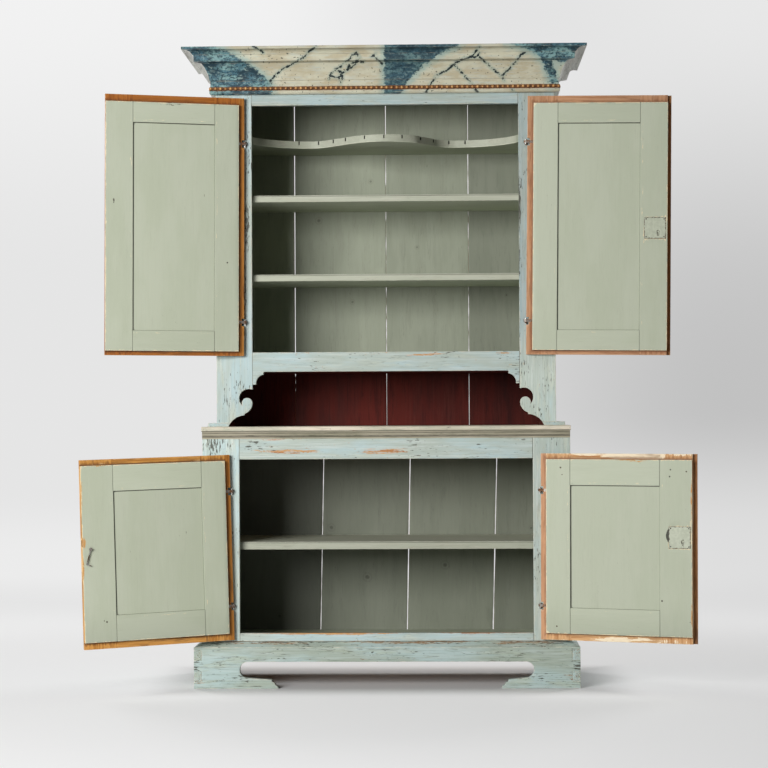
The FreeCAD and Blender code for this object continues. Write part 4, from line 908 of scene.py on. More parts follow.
def gapOpening(level, gap, z):
    middle, waver = backGaps[level][gap]
    wave = noise.noise(Vector((z * 11.0, gap * 7.3 + 0.37, 3.4)))
    wave += 0.8 * noise.noise(Vector((z * 41.0, gap * 5.3 + 0.6, 8.2)))
    opening = middle + waver * wave * 1.6
    if level == "upper":
        if gap > 0 and z > 1.80:
            opening = 0.75 - 0.25 * (gap - 1)             # wide above the spoon shelf
        if gap > 0 and z < nicheHead:
            opening = 0.42 + 0.22 * wave                  # open all the way down behind the niche
        if gap == 0 and z < nicheHead:
            opening = 0.4 if 1.000 < z < 1.012 or 0.965 < z < 0.985 else 0.0
    return min(max(opening, 0.0), 1.0)


edgeBand = 0.0022                                         # the part of a board that counts as its edge
edgeMove = 0.00155                                        # how far an edge moves to close its gap


def shrunkEdges(level, i):
    # closes the gaps beside a back board in places, as warped and paint-filled edges do
    def reshape(places):
        rows = {}
        for n, p in enumerate(places):
            rows.setdefault(round(p[2], 3), []).append(n)
        for z, row in rows.items():
            xs = places[row, 0]
            low, high = xs.min(), xs.max()
            for n in row:
                if i > 1 and places[n, 0] - low < edgeBand:
                    places[n, 0] -= edgeMove * (1 - gapOpening(level, i - 2, z))
                if i < 4 and high - places[n, 0] < edgeBand:
                    places[n, 0] += edgeMove * (1 - gapOpening(level, i - 1, z))
        return places
    return reshape


shelfLine = 0.0034                                        # a scored line, below a plain shelf's top


def shelfCreases(nodeName):
    low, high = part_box(nodeName)

    def creases(places):
        line = np.abs(places[:, 2] - high.z + shelfLine) + 0.0011
        return np.where(places[:, 1] < low.y + 0.002, line, farOff)
    return creases


def paleUnderside(nodeName):
    # the undersides catch light from below, and one front edge is duller
    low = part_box(nodeName)[0]
    edge, under = {"lower_shelf": (0.83, 1.0)}.get(nodeName, (1.0, 1.40))

    def fade(places):
        toneWithPaintedShade = np.where(places[:, 2] < low.z + 0.0012, under, 1.0)
        return np.where(places[:, 1] < low.y + 0.0030, edge, toneWithPaintedShade)
    return fade


spoonNotches = [x / 1000 for x in (-295, -229, -177, -134, -68, -3, 57, 118, 160, 212, 267)]
notchHalf = 0.0024
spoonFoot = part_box("spoon_shelf")[0].z


def spoonCreases(places):
    # painted shade in the notches, which is where the spoons hang
    gap = np.min([np.abs(places[:, 0] - caseX - x) for x in spoonNotches], axis=0)
    return np.where((gap < notchHalf) & (places[:, 2] > spoonFoot + 0.010), 0.0, farOff)


spoonLines = [caseX + x + offset for x in spoonNotches for offset in (-1.5 * notchHalf, 1.5 * notchHalf)]


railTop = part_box("lower_bottom_rail")[1].z
railScuffs = [
    (caseX - 0.20, railTop, 0.30, 0.0055, 1.3), (caseX + 0.30, railTop, 0.22, 0.0045, 1.0),
    (caseX - 0.35, railTop - 0.045, 0.12, 0.006, 0.7), (caseX + 0.28, railTop - 0.050, 0.20, 0.006, 0.7),
]


def buildCases():
    butted = {"butted": (0,)}
    lowerStile = {"net": (0.025, 0.02, 0.03), "scuffs": movedScuffs(baseScuffs)}
    # the brightness values set in these plans for single frame parts are painted light and shade
    plans = [
        # name, node, changes
        ("upperSideLeft", "upper_side_left", {"marks": {2: (nicheHead,)}}),
        ("upperSideRight", "upper_side_right", {"marks": {2: (nicheHead,)}}),
        ("upperTopBoard", "upper_top_board", butted),
        ("upperFloorBoard", "upper_floor_board", butted),
        ("upperTopRail", "upper_top_rail", {**butted, "net": (0.05, 0.03, 0.03), "shade": 0.87}),
        ("upperStileLeft", "upper_stile_left", crackedStile("Left")),
        ("upperStileRight", "upper_stile_right", {**crackedStile("Right"), "shade": 0.82}),
        ("apronRail", "apron_rail", {**butted, "net": (0.014, 0.012, 0.030),
                                     "scuffs": movedScuffs(apronScuffs)}),
        ("caseRunners", "upper_shoes", {"net": (0.04, 0.03, 0.02)}),
        ("lowerSideLeft", "lower_side_left", {"net": (0.050, 0.040, 0.030)}),
        ("lowerSideRight", "lower_side_right", {"net": (0.050, 0.040, 0.030)}),
        ("lowerFloorBoard", "lower_floor_board", butted),
        ("lowerStileLeft", "lower_stile_left", {**lowerStile, "shade": 1.14}),
        ("lowerStileRight", "lower_stile_right", {**lowerStile, "shade": 1.10}),
        ("lowerTopRail", "lower_top_rail", {**butted, "net": (0.020, 0.006, 0.030), "shade": 1.03,
                                            "scuffs": movedScuffs(baseScuffs)}),
        ("lowerBottomRail", "lower_bottom_rail", {**butted, "net": (0.04, 0.004, 0.02),
                                                  "scuffs": railScuffs}),
    ]
    for name, nodeName, changes in plans:
        dressed(name, nodeName, "case", "outside_paint", caseFinishes, caseRule(),
                flecks=movedScuffs(frameFlecks), **changes)
    for name, nodeName in (("plateShelfUpper", "upper_shelf_middle"),
                           ("plateShelfLower", "upper_shelf_lower"), ("baseShelf", "lower_shelf")):
        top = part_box(nodeName)[1].z
        dressed(name, nodeName, "case", "inside_paint", caseFinishes, caseRule(shelfPaintWithPaintedLight),
                butted=(0,), net=(0.03, 0.04, 0.02), creases=shelfCreases(nodeName),
                fade=paleUnderside(nodeName),
                marks={2: [top - shelfLine + k for k in (0.0012, 0, -0.0012)]})
    dressed("spoonShelf", "spoon_shelf", "case", "inside_paint", caseFinishes, caseRule(shelfPaintWithPaintedLight),
            net=(0.030, 0.030, 0.02), ease=0.0004, creases=spoonCreases, marks={0: spoonLines}, shade=0.90,
            fade=paleUnderside("spoon_shelf"))
    # painted shade: each back board is darker or lighter as the light falls inside the case, the lower left
    # one darkest
    shades = {"upper": (1.02, 0.81, 0.73, 0.53), "lower": (0.24, 0.44, 0.485, 0.40)}
    for level in ("upper", "lower"):
        for i in range(1, 5):
            knots = [(x + caseX, z, 1.4 * size) for board, x, z, size in boardKnots[level] if board == i]
            dressed("%sBackBoard%d" % (level, i), "%s_back_board_%d" % (level, i), "case", "inside_paint",
                    caseFinishes, caseRule(), net=(0.014, 0.05, 0.03), knots=knots, spread=0,
                    marks={2: (nicheHead,)} if level == "upper" else {}, shade=shades[level][i - 1],
                    reshape=shrunkEdges(level, i))


buildCases()
print("cases dressed")


# waist and plinth
def waistRule(centre, normal):
    if centre.y > backY or normal.z < -0.9 and centre.z > nicheFoot - 0.02 and centre.y > baseFrameY:
        return agedPine
    return waistPaint


def mouldingRule(centre, normal):
    return agedPine if waistRule(centre, normal) is agedPine else mouldingPaintAndShade


waistScuffs = movedScuffs([
    (-0.30, 0.815, 0.26, 0.007, 0.75), (0.05, 0.814, 0.16, 0.005, 0.4), (0.35, 0.814, 0.18, 0.005, 0.35),
    (-0.55, 0.850, 0.07, 0.01, 0.4), (0.10, 0.838, 0.5, 0.003, 0.4),
])
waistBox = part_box("waist_board")
waistGroove = waistBox[1].z - 0.0165                      # a groove runs along its front


def waistGrooveAndShade(places):
    # painted shade under the nose of the board and along the groove in its front
    foot = np.abs(places[:, 2] - waistBox[0].z - 0.0005)
    groove = np.abs(places[:, 2] - waistGroove) + 0.0008
    return np.where(places[:, 1] < waistBox[0].y + 0.02, np.minimum(foot, groove), farOff)


waistLines = [waistGroove + k for k in (-0.004, -0.0015, 0.0, 0.0015, 0.004)]
waistLines += [waistBox[0].z + k for k in (0.002, 0.005)]
mouldingFoot, mouldingTop = (corner.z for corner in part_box("waist_moulding"))
mouldingLines = [mouldingTop - k * (mouldingTop - mouldingFoot) / 16 for k in range(1, 16)]


def mouldingPaintedLight(places):
    # painted light and shade: lighter and darker bands down the moulding, where its profile would catch the
    # light or lie in shade
    depth = (mouldingTop - places[:, 2]) / (mouldingTop - mouldingFoot)
    return np.interp(depth, (0.12, 0.20, 0.30, 0.34, 0.44, 0.50, 0.58, 0.63, 0.70, 0.75, 0.84, 0.88),
                     (1.25, 1.00, 1.00, 1.55, 1.55, 1.20, 1.20, 0.50, 0.50, 1.00, 1.10, 1.75))


dressed("waistBoard", "waist_board", "case", "outside_paint", [waistPaint, agedPine], waistRule,
        net=(0.03, 0.05, 0.03), scuffs=waistScuffs, creases=waistGrooveAndShade, marks={2: waistLines},
        ease=0.0016, worn=0.0008, shade=1.04)
dressed("waistMoulding", "waist_moulding", "case", "outside_paint", [mouldingPaintAndShade, agedPine],
        mouldingRule, net=(0.03, 0.02, 0.0016), ease=0.0004, turns=1, fade=mouldingPaintedLight,
        marks={2: mouldingLines})

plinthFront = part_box("plinth_front")


def plinthRule(centre, normal):
    hidden = centre.y > plinthFront[0].y + 0.0245 and abs(centre.x - caseX) < lowerInside + 0.025
    if hidden or abs(normal.z) > 0.95 and centre.z < 0.01 or centre.y > backY + 0.013 and normal.y > 0.5:
        return agedPine
    return plinthPaint


plinthScuffs = movedScuffs([
    (-0.62, 0.030, 0.05, 0.030, 0.55), (-0.60, 0.110, 0.05, 0.030, 0.35), (0.61, 0.040, 0.05, 0.04, 0.5),
    (-0.40, 0.149, 0.24, 0.008, 1.0), (0.10, 0.150, 0.30, 0.008, 1.1), (0.45, 0.149, 0.18, 0.008, 1.1),
    (0.00, 0.095, 0.30, 0.010, 0.35), (0.62, 0.12, 0.05, 0.03, 0.5),
])
plinthFlecks = movedScuffs([
    (-0.625, 0.08, 0.025, 0.08, 0.8), (0.625, 0.09, 0.03, 0.08, 1.0), (-0.50, 0.030, 0.10, 0.03, 0.5),
    (-0.30, 0.148, 0.20, 0.012, 0.9), (0.20, 0.149, 0.30, 0.012, 0.8), (0.52, 0.030, 0.10, 0.03, 0.6),
    (0.52, 0.145, 0.10, 0.014, 0.9), (-0.56, 0.145, 0.08, 0.014, 0.8), (0.0, 0.115, 0.35, 0.012, 0.5),
])


def plinthCreases(places):
    # dirt lies under the lower case, along the plinth's top
    return np.abs(places[:, 2] - plinthFront[1].z) + 0.0004


dressed("plinthFront", "plinth_front", "case", "outside_paint", [plinthPaint, agedPine], plinthRule,
        net=(0.016, 0.010, 0.030), scuffs=plinthScuffs, flecks=plinthFlecks, creases=plinthCreases,
        marks={2: [plinthFront[1].z - k for k in (0.003, 0.006)]}, ease=0.0010, worn=0.0009)
for side in ("Left", "Right"):
    dressed("plinthSide" + side, "plinth_side_" + side.lower(), "case", "outside_paint",
            [plinthPaint, agedPine], plinthRule, net=(0.03, 0.014, 0.030), scuffs=plinthScuffs, worn=0.0009)
for name, nodeName in (("plinthBackRail", "plinth_back_rail"), ("plinthBlocks", "plinth_blocks")):
    dressed(name, nodeName, "case", "bare_pine", [agedPine], lambda c, n: agedPine)
print("waist and plinth dressed")


# doors
joints = {joint["name"]: joint for joint in frame["joints"]}


def doorStand(door):
    # how the closed door, drawn about its hinge line, is turned to where it stands
    joint = joints[door + "_hinge"]
    swing = -math.radians(joint["range_deg"][0])
    turn = Matrix.Rotation(swing, 4, Vector(joint["axis"]))
    return Matrix.Translation(Vector(joint["pos_m"])) @ turn


doorPlan = {
    # measures from the hinge line, metres; every door is drawn closed, show side to the front
    "showFace": -0.0045,
    "lipBack": 0.0075,
    "inFace": 0.0195,
    "hingeStile": 0.104,
    "upper": {"reach": 0.461, "freeStile": 0.089},
    "lower": {"reach": 0.500, "freeStile": 0.104},
}


doorWear = {
    # in each closed door's own measures: tone, which is painted light and shade for the whole door, rubbed
    # patches, dirty patches, nails and pegs
    "upper_left": {
        "lip": goldenLip,
        "toneWithPaintedShade": 1.02,
        "scuffs": [],
        "flecks": [(0.434, 0.095, 0.016, 0.02, 1.0), (0.25, 0.415, 0.06, 0.014, 1.5)],
        "pegs": [(0.0621, -0.0995), (0.434, 0.090), (0.4335, 0.095), (0.434, 0.100)],
    },
    "upper_right": {
        "lip": rosyLip,
        "toneWithPaintedShade": 1.05,
        "scuffs": [],
        "flecks": [(-0.42, 0.30, 0.03, 0.05, 0.3)],
        "pegs": [],
    },
    "lower_left": {
        "lip": amberLip,
        "toneWithPaintedShade": 1.08,
        "scuffs": [(0.4995, 0.040, 0.016, 0.030, 1.7), (0.4995, -0.02, 0.010, 0.09, 1.1),
                   (0.4995, 0.22, 0.008, 0.12, 0.9), (0.44, 0.290, 0.05, 0.008, 1.3),
                   (0.12, 0.29, 0.05, 0.010, 0.8)],
        "flecks": [(0.4555, 0.2832, 0.03, 0.008, 1.0), (0.4303, 0.1486, 0.02, 0.02, 0.8),
                   (0.4275, -0.2108, 0.02, 0.02, 0.9), (0.12, 0.265, 0.05, 0.02, 0.5)],
        "pegs": [(0.4275, -0.2108), (0.436, -0.207)],
    },
    "lower_right": {
        "lip": creamLip,
        "toneWithPaintedShade": 1.04,
        "scuffs": [(-0.31, -0.290, 0.20, 0.012, 0.9), (-0.31, 0.300, 0.13, 0.020, 2.1),
                   (-0.46, 0.306, 0.05, 0.010, 1.2), (-0.15, 0.306, 0.08, 0.010, 1.1),
                   (-0.4995, 0.15, 0.008, 0.10, 1.2), (-0.4995, -0.20, 0.008, 0.08, 1.1)],
        "flecks": [(-0.48, 0.25, 0.03, 0.04, 0.6), (-0.07, 0.25, 0.02, 0.03, 0.5)],
        "pegs": [(-0.0729, 0.2607), (-0.0778, 0.2378), (-0.431, 0.2562), (-0.4283, 0.2343),
                 (-0.4817, 0.2506), (-0.4858, 0.2206), (-0.0724, -0.230), (-0.4028, -0.1608),
                 (-0.0595, -0.2513), (-0.4926, -0.2256)],
    },
}
hingeSide = 0.022                                         # up to here the lip is brown or rosy
lipWearLines = [-0.2935, -0.288, -0.2825, 0.291, 0.296, 0.301]  # heights of the pale wear, lower right


def besideLines(lines):
    # cuts close to both sides of each line, so that a crease stays narrow
    return [line + offset for line in lines for offset in (-0.004, -0.0012, 0.0, 0.0012, 0.004)]


def dimFoot(places):
    # the foot of a lower door stands in the case's shade
    return np.interp(places[:, 2], (-0.27, -0.17), (0.87, 1.0))


def frameRule(door):
    # which finish a face of a door frame has: the field inside, paint outside, bare wood on the lips
    level, hand = door.split("_")
    sizes, sign = doorPlan[level], 1 if hand == "left" else -1
    besideHinge = brownLip if hand == "left" else rosyLip

    def pick(centre, normal):
        along = centre.x * sign
        if normal.y > 0.55 and centre.y > doorPlan["inFace"] - 0.0012:
            return doorPaint
        if normal.y < -0.5 and centre.y < doorPlan["showFace"] + 0.0012:
            return framePaint
        inPanel = doorPlan["hingeStile"] - 0.002 < along < sizes["reach"] - sizes["freeStile"] + 0.002
        onEnd = along > sizes["reach"] - 0.0012 and normal.x * sign > 0.5
        onLip = centre.y < doorPlan["lipBack"] + 0.0006
        if inPanel and abs(normal.y) < 0.5 and not onEnd and not onLip:
            return doorPaint
        return besideHinge if along < hingeSide else doorWear[door]["lip"]
    return pick, [doorPaint, doorWear[door]["lip"], framePaint, besideHinge]


def panelRule(centre, normal):
    return doorPaint if normal.y > 0.3 else framePaint


def doorMarks(door):
    x0, x1, z0, z1 = panelBox(door)
    marks = {0: besideLines((x0, x1)), 2: besideLines((z0, z1))}
    if door == "lower_right":
        edge, middle, reach, half = plateSlot()
        marks[0] += [edge + k * reach / 4 for k in range(-1, 6)]
        marks[2] += [middle + k * half / 4 for k in range(-5, 6)] + lipWearLines
    return marks


def dressDoors():
    for door, wear in doorWear.items():
        level, hand = door.split("_")
        title = level + hand.capitalize()
        body = door + "_door"
        rule, finishes = frameRule(door)
        shared = {"stand": doorStand(door), "ease": 0.0006, "quiet": jointArrises(door),
                  "marks": doorMarks(door)}
        dressed(title + "Frame", door + "_door_frame", body, "door_paint", finishes, rule,
                net=(0.030, 0.020, 0.012), worn=0.0004, scuffs=wear["scuffs"], flecks=wear["flecks"],
                creases=memberCreases(door), shade=wear["toneWithPaintedShade"], fade=dimFoot if level == "lower" else None,
                **shared)
        dressed(title + "Panel", door + "_door_panel", body, "door_paint", [doorPaint, framePaint],
                panelRule, net=(0.05, 0.04, 0.03), creases=panelGapsAndPaintedShadow(door), shade=0.985 * wear["toneWithPaintedShade"],
                **shared)
        if hand == "right":
            dressed(title + "CoverStrip", door + "_astragal", body, "bare_pine", [darkStrip],
                    lambda c, n: darkStrip, stand=shared["stand"], net=(0.02, 0.01, 0.01), ease=0.0012)


def panelBox(door):
    # the panel's visible rectangle in the closed door, from the rails and stiles round it
    level, hand = door.split("_")
    sizes = doorPlan[level]
    sign = 1 if hand == "left" else -1
    upright = doorStand(door).inverted()
    heights = [(upright @ v.co).z for v in nodes[door + "_door_panel"].data.vertices]
    foot, head = min(heights) + 0.008, max(heights) - 0.008
    near, far = doorPlan["hingeStile"] * sign, (sizes["reach"] - sizes["freeStile"]) * sign
    return min(near, far), max(near, far), foot, head


def panelGapsAndPaintedShadow(door):
    # painted shadow: the dark groove round each panel is wider along its top and along one side, where the
    # frame's shadow falls
    x0, x1, z0, z1 = panelBox(door)

    def creases(places):
        dx = np.minimum(np.abs(places[:, 0] - x0) + 0.0012, np.abs(places[:, 0] - x1) - 0.0022)
        dz = np.minimum(np.abs(places[:, 2] - z0) + 0.0013, np.abs(places[:, 2] - z1) - 0.0009)
        return np.maximum(np.minimum(dx, dz), 0.0)
    return creases


def plateSlot():
    # the crescent beside the lower right lock plate: straight side, middle height, reach, half height
    upright = doorStand("lower_right").inverted()
    plate = [upright @ v.co for v in nodes["lower_right_lock_plate"].data.vertices]
    foot, head = min(p.z for p in plate), max(p.z for p in plate)
    return max(p.x for p in plate), head - 0.42 * (head - foot), 0.0085, 0.024


def memberCreases(door):
    # the joints between stiles and rails show faintly above and below the panel
    x0, x1, z0, z1 = panelBox(door)
    upright = doorStand(door).inverted()
    inner = [upright @ v.co for v in nodes[door + "_door_frame"].data.vertices]
    inner = [p for p in inner if p.y > doorPlan["inFace"] - 0.0005]
    x2, x3 = min(p.x for p in inner), max(p.x for p in inner)
    z2, z3 = min(p.z for p in inner), max(p.z for p in inner)

    def creases(places):
        x, y, z = places.T
        beside = (z > z0 + 0.0005) & (z < z1 - 0.0005)
        gap = np.minimum(np.abs(x - x0), np.abs(x - x1))
        gap = np.where(beside | (y < doorPlan["lipBack"]), farOff, gap + 0.0014)
        # the crescent slot beside the lock plate is not cut: the field is painted dark there, as painted
        # shade for the hole
        if door == "lower_right":
            edge, middle, reach, half = plateSlot()
            bulge = reach * (1 - ((z - middle) / half) ** 2)
            beyond = np.maximum(np.maximum(x - edge - bulge, edge - x), 0)
            gap = np.where(y > doorPlan["inFace"] - 0.001, np.minimum(gap, 3 * beyond), gap)
        # on the lip, painted shade lies against the side of the field
        lip = np.abs(y - doorPlan["lipBack"]) < 0.0010
        aside, above = np.maximum(x2 - x, x - x3), np.maximum(z2 - z, z - z3)
        return np.where(lip, np.maximum(np.maximum(aside, above), 0), gap)
    return creases


def jointArrises(door):
    # arrises beside the panel and at the joints were never rubbed
    x0, x1, z0, z1 = panelBox(door)
    near = 0.003

    def quiet(places):
        x, z = places[:, 0], places[:, 2]
        upright = (np.abs(x - x0) < near) | (np.abs(x - x1) < near)
        level = (np.abs(z - z0) < near) | (np.abs(z - z1) < near)
        return upright | level & (x > x0 - near) & (x < x1 + near)
    return quiet


dressDoors()
print("doors dressed")


# cornice
def insideCloud(x, z, outline):
    # even-odd test
    inside = np.zeros(len(x), bool)
    for (ax, az), (bx, bz) in zip(outline, outline[1:] + outline[:1]):
        crosses = (az > z) != (bz > z)
        if az != bz:
            inside ^= crosses & (x < (bx - ax) * (z - az) / (bz - az) + ax)
    return inside


def sidesOf(line, closed=False):
    # a flat line's sides, stood upright in the plane of the cornice
    ends = line[1:] + line[:1] if closed else line[1:]
    return [((a[0], 0, a[1]), (b[0], 0, b[1])) for a, b in zip(line, ends)]


boleReach = 0.011                                         # how far bole shows above and below the beads


def layMarbling(piece):
    # the pattern is laid out on a flat elevation, as a painter standing in front sees it
    mesh = piece.data
    eye = marbling["eye"]
    places = placesOf(mesh).astype(float)
    t = (frameY - eye[1]) / np.maximum(places[:, 1] - eye[1], 0.5)
    x = eye[0] + (places[:, 0] - eye[0]) * t - caseX
    z = eye[2] + (places[:, 2] - eye[2]) * t
    flat = np.stack([x, np.zeros(len(x)), z], 1)
    veins = [side for line in marbling["veins"] for side in sidesOf(line)]
    cloud = np.full(len(x), -0.2)
    for outline in marbling["clouds"]:
        gap = distanceTo(flat, sidesOf(outline, closed=True))
        cloud = np.maximum(cloud, np.where(insideCloud(x, z, outline), gap, -gap))
    # bole shows on the flat behind the beads
    beadLow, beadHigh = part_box("bead_string")
    bole = 1 - np.abs(places[:, 2] - (beadLow.z + beadHigh.z) / 2) / boleReach
    bole = np.where(places[:, 1] > beadLow.y + 0.004, np.clip(bole, 0, 1), 0)
    addLayer(mesh, "layout", flat + np.array([5.0, 0, 0]))
    addLayer(mesh, "vein", distanceTo(flat, veins))
    addLayer(mesh, "cloud", cloud)
    addLayer(mesh, "bole", bole)


def buildCornice():
    def frontRule(centre, normal):
        if normal.y > 0.5 or normal.z > 0.9 and centre.y > frameY - 0.09 or centre.y > frameY - 0.0005:
            return agedPine
        return marbledPaint

    def returnRule(centre, normal):
        across = abs(centre.x - caseX)
        if normal.z > 0.9 and across < 0.64 or across < 0.5585:
            return agedPine
        return greyPaintWithPaintedLight
    face = dressed("corniceFront", "cornice_front", "case", "marbled_paint", [marbledPaint, agedPine],
                   frontRule, net=(0.006, 0.005, 0.010), ease=0.0005, worn=0.0003)
    layMarbling(face)
    # painted light: the left return is brightened more than the right, as the light comes from the left
    for side, shade in (("Left", 1.17), ("Right", 1.04)):
        dressed("cornice" + side, "cornice_" + side.lower(), "case", "outside_paint",
                [greyPaintWithPaintedLight, agedPine], returnRule, net=(0.03, 0.015, 0.02), ease=0.0005, shade=shade)


buildCornice()
print("cornice dressed")


# things that repeat: gilt beads and nails
def newTree(name, inputs):
    tree = bpy.data.node_groups.new(name, "GeometryNodeTree")
    tree.interface.new_socket(name="Geometry", in_out="INPUT", socket_type="NodeSocketGeometry")
    for label, kind, start in inputs:
        socket = tree.interface.new_socket(name=label, in_out="INPUT", socket_type="NodeSocket" + kind)
        if start is not None:
            socket.default_value = start
    tree.interface.new_socket(name="Geometry", in_out="OUTPUT", socket_type="NodeSocketGeometry")
    first = tree.nodes.new("NodeGroupInput")
    last = tree.nodes.new("NodeGroupOutput")
    return tree, first, last


def grow(name, tree, places, edges, settings, body, replaced=(), layers=None):
    # run a tree on a few points or lines and keep the result as a plain mesh
    base = bpy.data.meshes.new(name + "Seed")
    base.from_pydata(places, edges, [])
    for label, values in (layers or {}).items():
        addLayer(base, label, values)
    piece = bpy.data.objects.new(name, base)
    bpy.context.scene.collection.objects.link(piece)
    modifier = piece.modifiers.new("grow", "NODES")
    modifier.node_group = tree
    for item in tree.interface.items_tree:
        if item.in_out == "INPUT" and item.name in settings:
            modifier[item.identifier] = settings[item.name]
    depsgraph = bpy.context.evaluated_depsgraph_get()
    plain = bpy.data.meshes.new_from_object(piece.evaluated_get(depsgraph))
    piece.modifiers.clear()
    piece.data = plain
    plain.name = name
    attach(piece, body)
    if replaced:
        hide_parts(*replaced)
    return piece


beads = {
    "radius": 0.0068,
    "pitch": 0.0165,
    "core": 0.0036,                                       # the stem between two beads
    "uneven": 0.08,
    "seed": 4,
}


def randomSize(tree, low, high, seed):
    # a size of its own for every bead or nail
    size = tree.nodes.new("FunctionNodeRandomValue")
    size.data_type = "FLOAT"
    wire(low, size.inputs[2])
    wire(high, size.inputs[3])
    wire(seed, size.inputs["Seed"])
    return size.outputs[1]


def endTree(tree, grown, finish, last):
    # shade smooth, make the instances real and give them their finish
    smooth = step(tree, "GeometryNodeSetShadeSmooth", Geometry=grown)
    real = step(tree, "GeometryNodeRealizeInstances", Geometry=smooth.outputs[0])
    coat = step(tree, "GeometryNodeSetMaterial", Geometry=real.outputs[0], Material=finish)
    wire(coat.outputs[0], last.inputs[0])
    return tree


def beadTree():
    tree, first, last = newTree("beadString", [
        ("Pitch", "Float", beads["pitch"]), ("Radius", "Float", beads["radius"]),
        ("Core", "Float", beads["core"]), ("Uneven", "Float", beads["uneven"]),
        ("Seed", "Int", beads["seed"]), ("Finish", "Material", None)])
    given = first.outputs
    line = step(tree, "GeometryNodeMeshToCurve", Mesh=given["Geometry"])
    spaced = tree.nodes.new("GeometryNodeResampleCurve")
    spaced.mode = "LENGTH"
    feed(spaced, Curve=line.outputs[0], Length=given["Pitch"])
    ball = step(tree, "GeometryNodeMeshUVSphere", Segments=10, Rings=6, Radius=given["Radius"])
    smallest = 1.0 - Signal(given["Uneven"])
    strung = step(tree, "GeometryNodeInstanceOnPoints", Points=spaced.outputs[0],
                  Instance=ball.outputs["Mesh"], Scale=randomSize(tree, smallest, 1.0, given["Seed"]))
    ring = step(tree, "GeometryNodeCurvePrimitiveCircle", Resolution=8, Radius=given["Core"])
    stem = step(tree, "GeometryNodeCurveToMesh", Curve=line.outputs[0], Profile_Curve=ring.outputs[0],
                Fill_Caps=True)
    both = tree.nodes.new("GeometryNodeJoinGeometry")
    wire(stem.outputs[0], both.inputs[0])
    wire(strung.outputs[0], both.inputs[0])
    return endTree(tree, both.outputs[0], given["Finish"], last)


def crownLayer(piece, middle):
    # how far a point stands out from the string's line, counted higher on each bead's upper half, for the
    # painted highlight and shade of the gilding
    addLayer(piece.data, "crown", middle(placesOf(piece.data)) / beads["radius"])


stringInset = 0.007                                       # from the string's outside to its own line
cornerInset = 0.008


def stringBeads():
    low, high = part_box("bead_string")
    z = (low.z + high.z) / 2
    wall = low.y + stringInset                            # the flat that the beads are pinned to
    left, right, back = low.x + stringInset, high.x - stringInset, high.y
    lines = [(left + 0.001, wall, z), (right - 0.001, wall, z),
             (left, wall + cornerInset, z), (left, back - cornerInset, z),
             (right, wall + cornerInset, z), (right, back - cornerInset, z)]
    piece = grow("giltBeads", beadTree(), lines, [(0, 1), (2, 3), (4, 5)], {"Finish": rubbedGiltAndHighlight},
                 "case", ["bead_string"])

    def outward(p):
        # the upper half of each bead counts as further out, so that the painted highlight sits on top
        ahead = wall - p[:, 1]
        aside = np.maximum(left - p[:, 0], p[:, 0] - right)
        return np.maximum(ahead, aside) + np.maximum(0, p[:, 2] - z) * 0.35
    crownLayer(piece, outward)


stringBeads()
print("beads strung")


def nailTree():
    tree, first, last = newTree("nailHeads", [
        ("Radius", "Float", 0.003), ("Rise", "Float", 0.35), ("Seed", "Int", 1),
        ("Finish", "Material", None)])
    head = step(tree, "GeometryNodeMeshUVSphere", Segments=8, Rings=5, Radius=first.outputs["Radius"])
    flatten = step(tree, "ShaderNodeCombineXYZ", X=1.0, Y=1.0, Z=first.outputs["Rise"])
    pressed = step(tree, "GeometryNodeTransform", Geometry=head.outputs["Mesh"], Scale=flatten.outputs[0])
    facing = tree.nodes.new("GeometryNodeInputNamedAttribute")
    facing.data_type = "FLOAT_VECTOR"
    wire("facing", facing.inputs["Name"])
    turn = tree.nodes.new("FunctionNodeAlignRotationToVector")
    turn.axis = "Z"
    wire(facing.outputs[0], turn.inputs["Vector"])
    driven = step(tree, "GeometryNodeInstanceOnPoints", Points=first.outputs["Geometry"],
                  Instance=pressed.outputs[0], Rotation=turn.outputs[0],
                  Scale=randomSize(tree, 0.75, 1.15, first.outputs["Seed"]))
    return endTree(tree, driven.outputs[0], first.outputs["Finish"], last)


nailHeads = nailTree()


def driveNails(name, places, facing, radius, rise, door):
    # small iron heads that all look one way
    grow(name, nailHeads, places, [], {"Radius": radius, "Rise": rise, "Seed": 3, "Finish": darkIron},
         door + "_door", layers={"facing": [facing] * len(places)})


# irons that keep their CAD shape
for nodeName in nodes:
    kept = {"hinge_pintles": brightIron, "hook": brightIron, "hook_staple": brightIron}.get(nodeName)
    kept = wroughtIron if nodeName.endswith("_hinge_eyes") else kept
    kept = darkIron if nodeName.endswith("_lock_bolt") else kept
    if kept:
        nodes[nodeName].data.materials.clear()
        nodes[nodeName].data.materials.append(kept)


lockNails = {"radius": 0.0021, "rise": 0.4, "inset": 0.006}
framePegs = {"radius": 0.0042, "rise": 0.16}


def dressLocks():
    for door in ("upper_right", "lower_right"):
        level = door.split("_")[0]
        stand = doorStand(door)
        dressed(level + "LockPlate", door + "_lock_plate", door + "_door", "painted_iron", [paintedIron],
                lambda c, n: paintedIron, stand=stand, net=(0.008, 0.008, 0.01), ease=0.0003, worn=0)
        upright = stand.inverted()
        corners = [upright @ v.co for v in nodes[door + "_lock_plate"].data.vertices]
        xs, ys, zs = zip(*corners)
        inset = lockNails["inset"]
        spots = [stand @ Vector((x, max(ys), z)) for x in (min(xs) + inset, max(xs) - inset)
                 for z in (min(zs) + inset, max(zs) - inset)]
        driveNails(level + "LockNails", spots, stand.to_3x3() @ Vector((0, 1, 0)), lockNails["radius"],
                   lockNails["rise"], door)


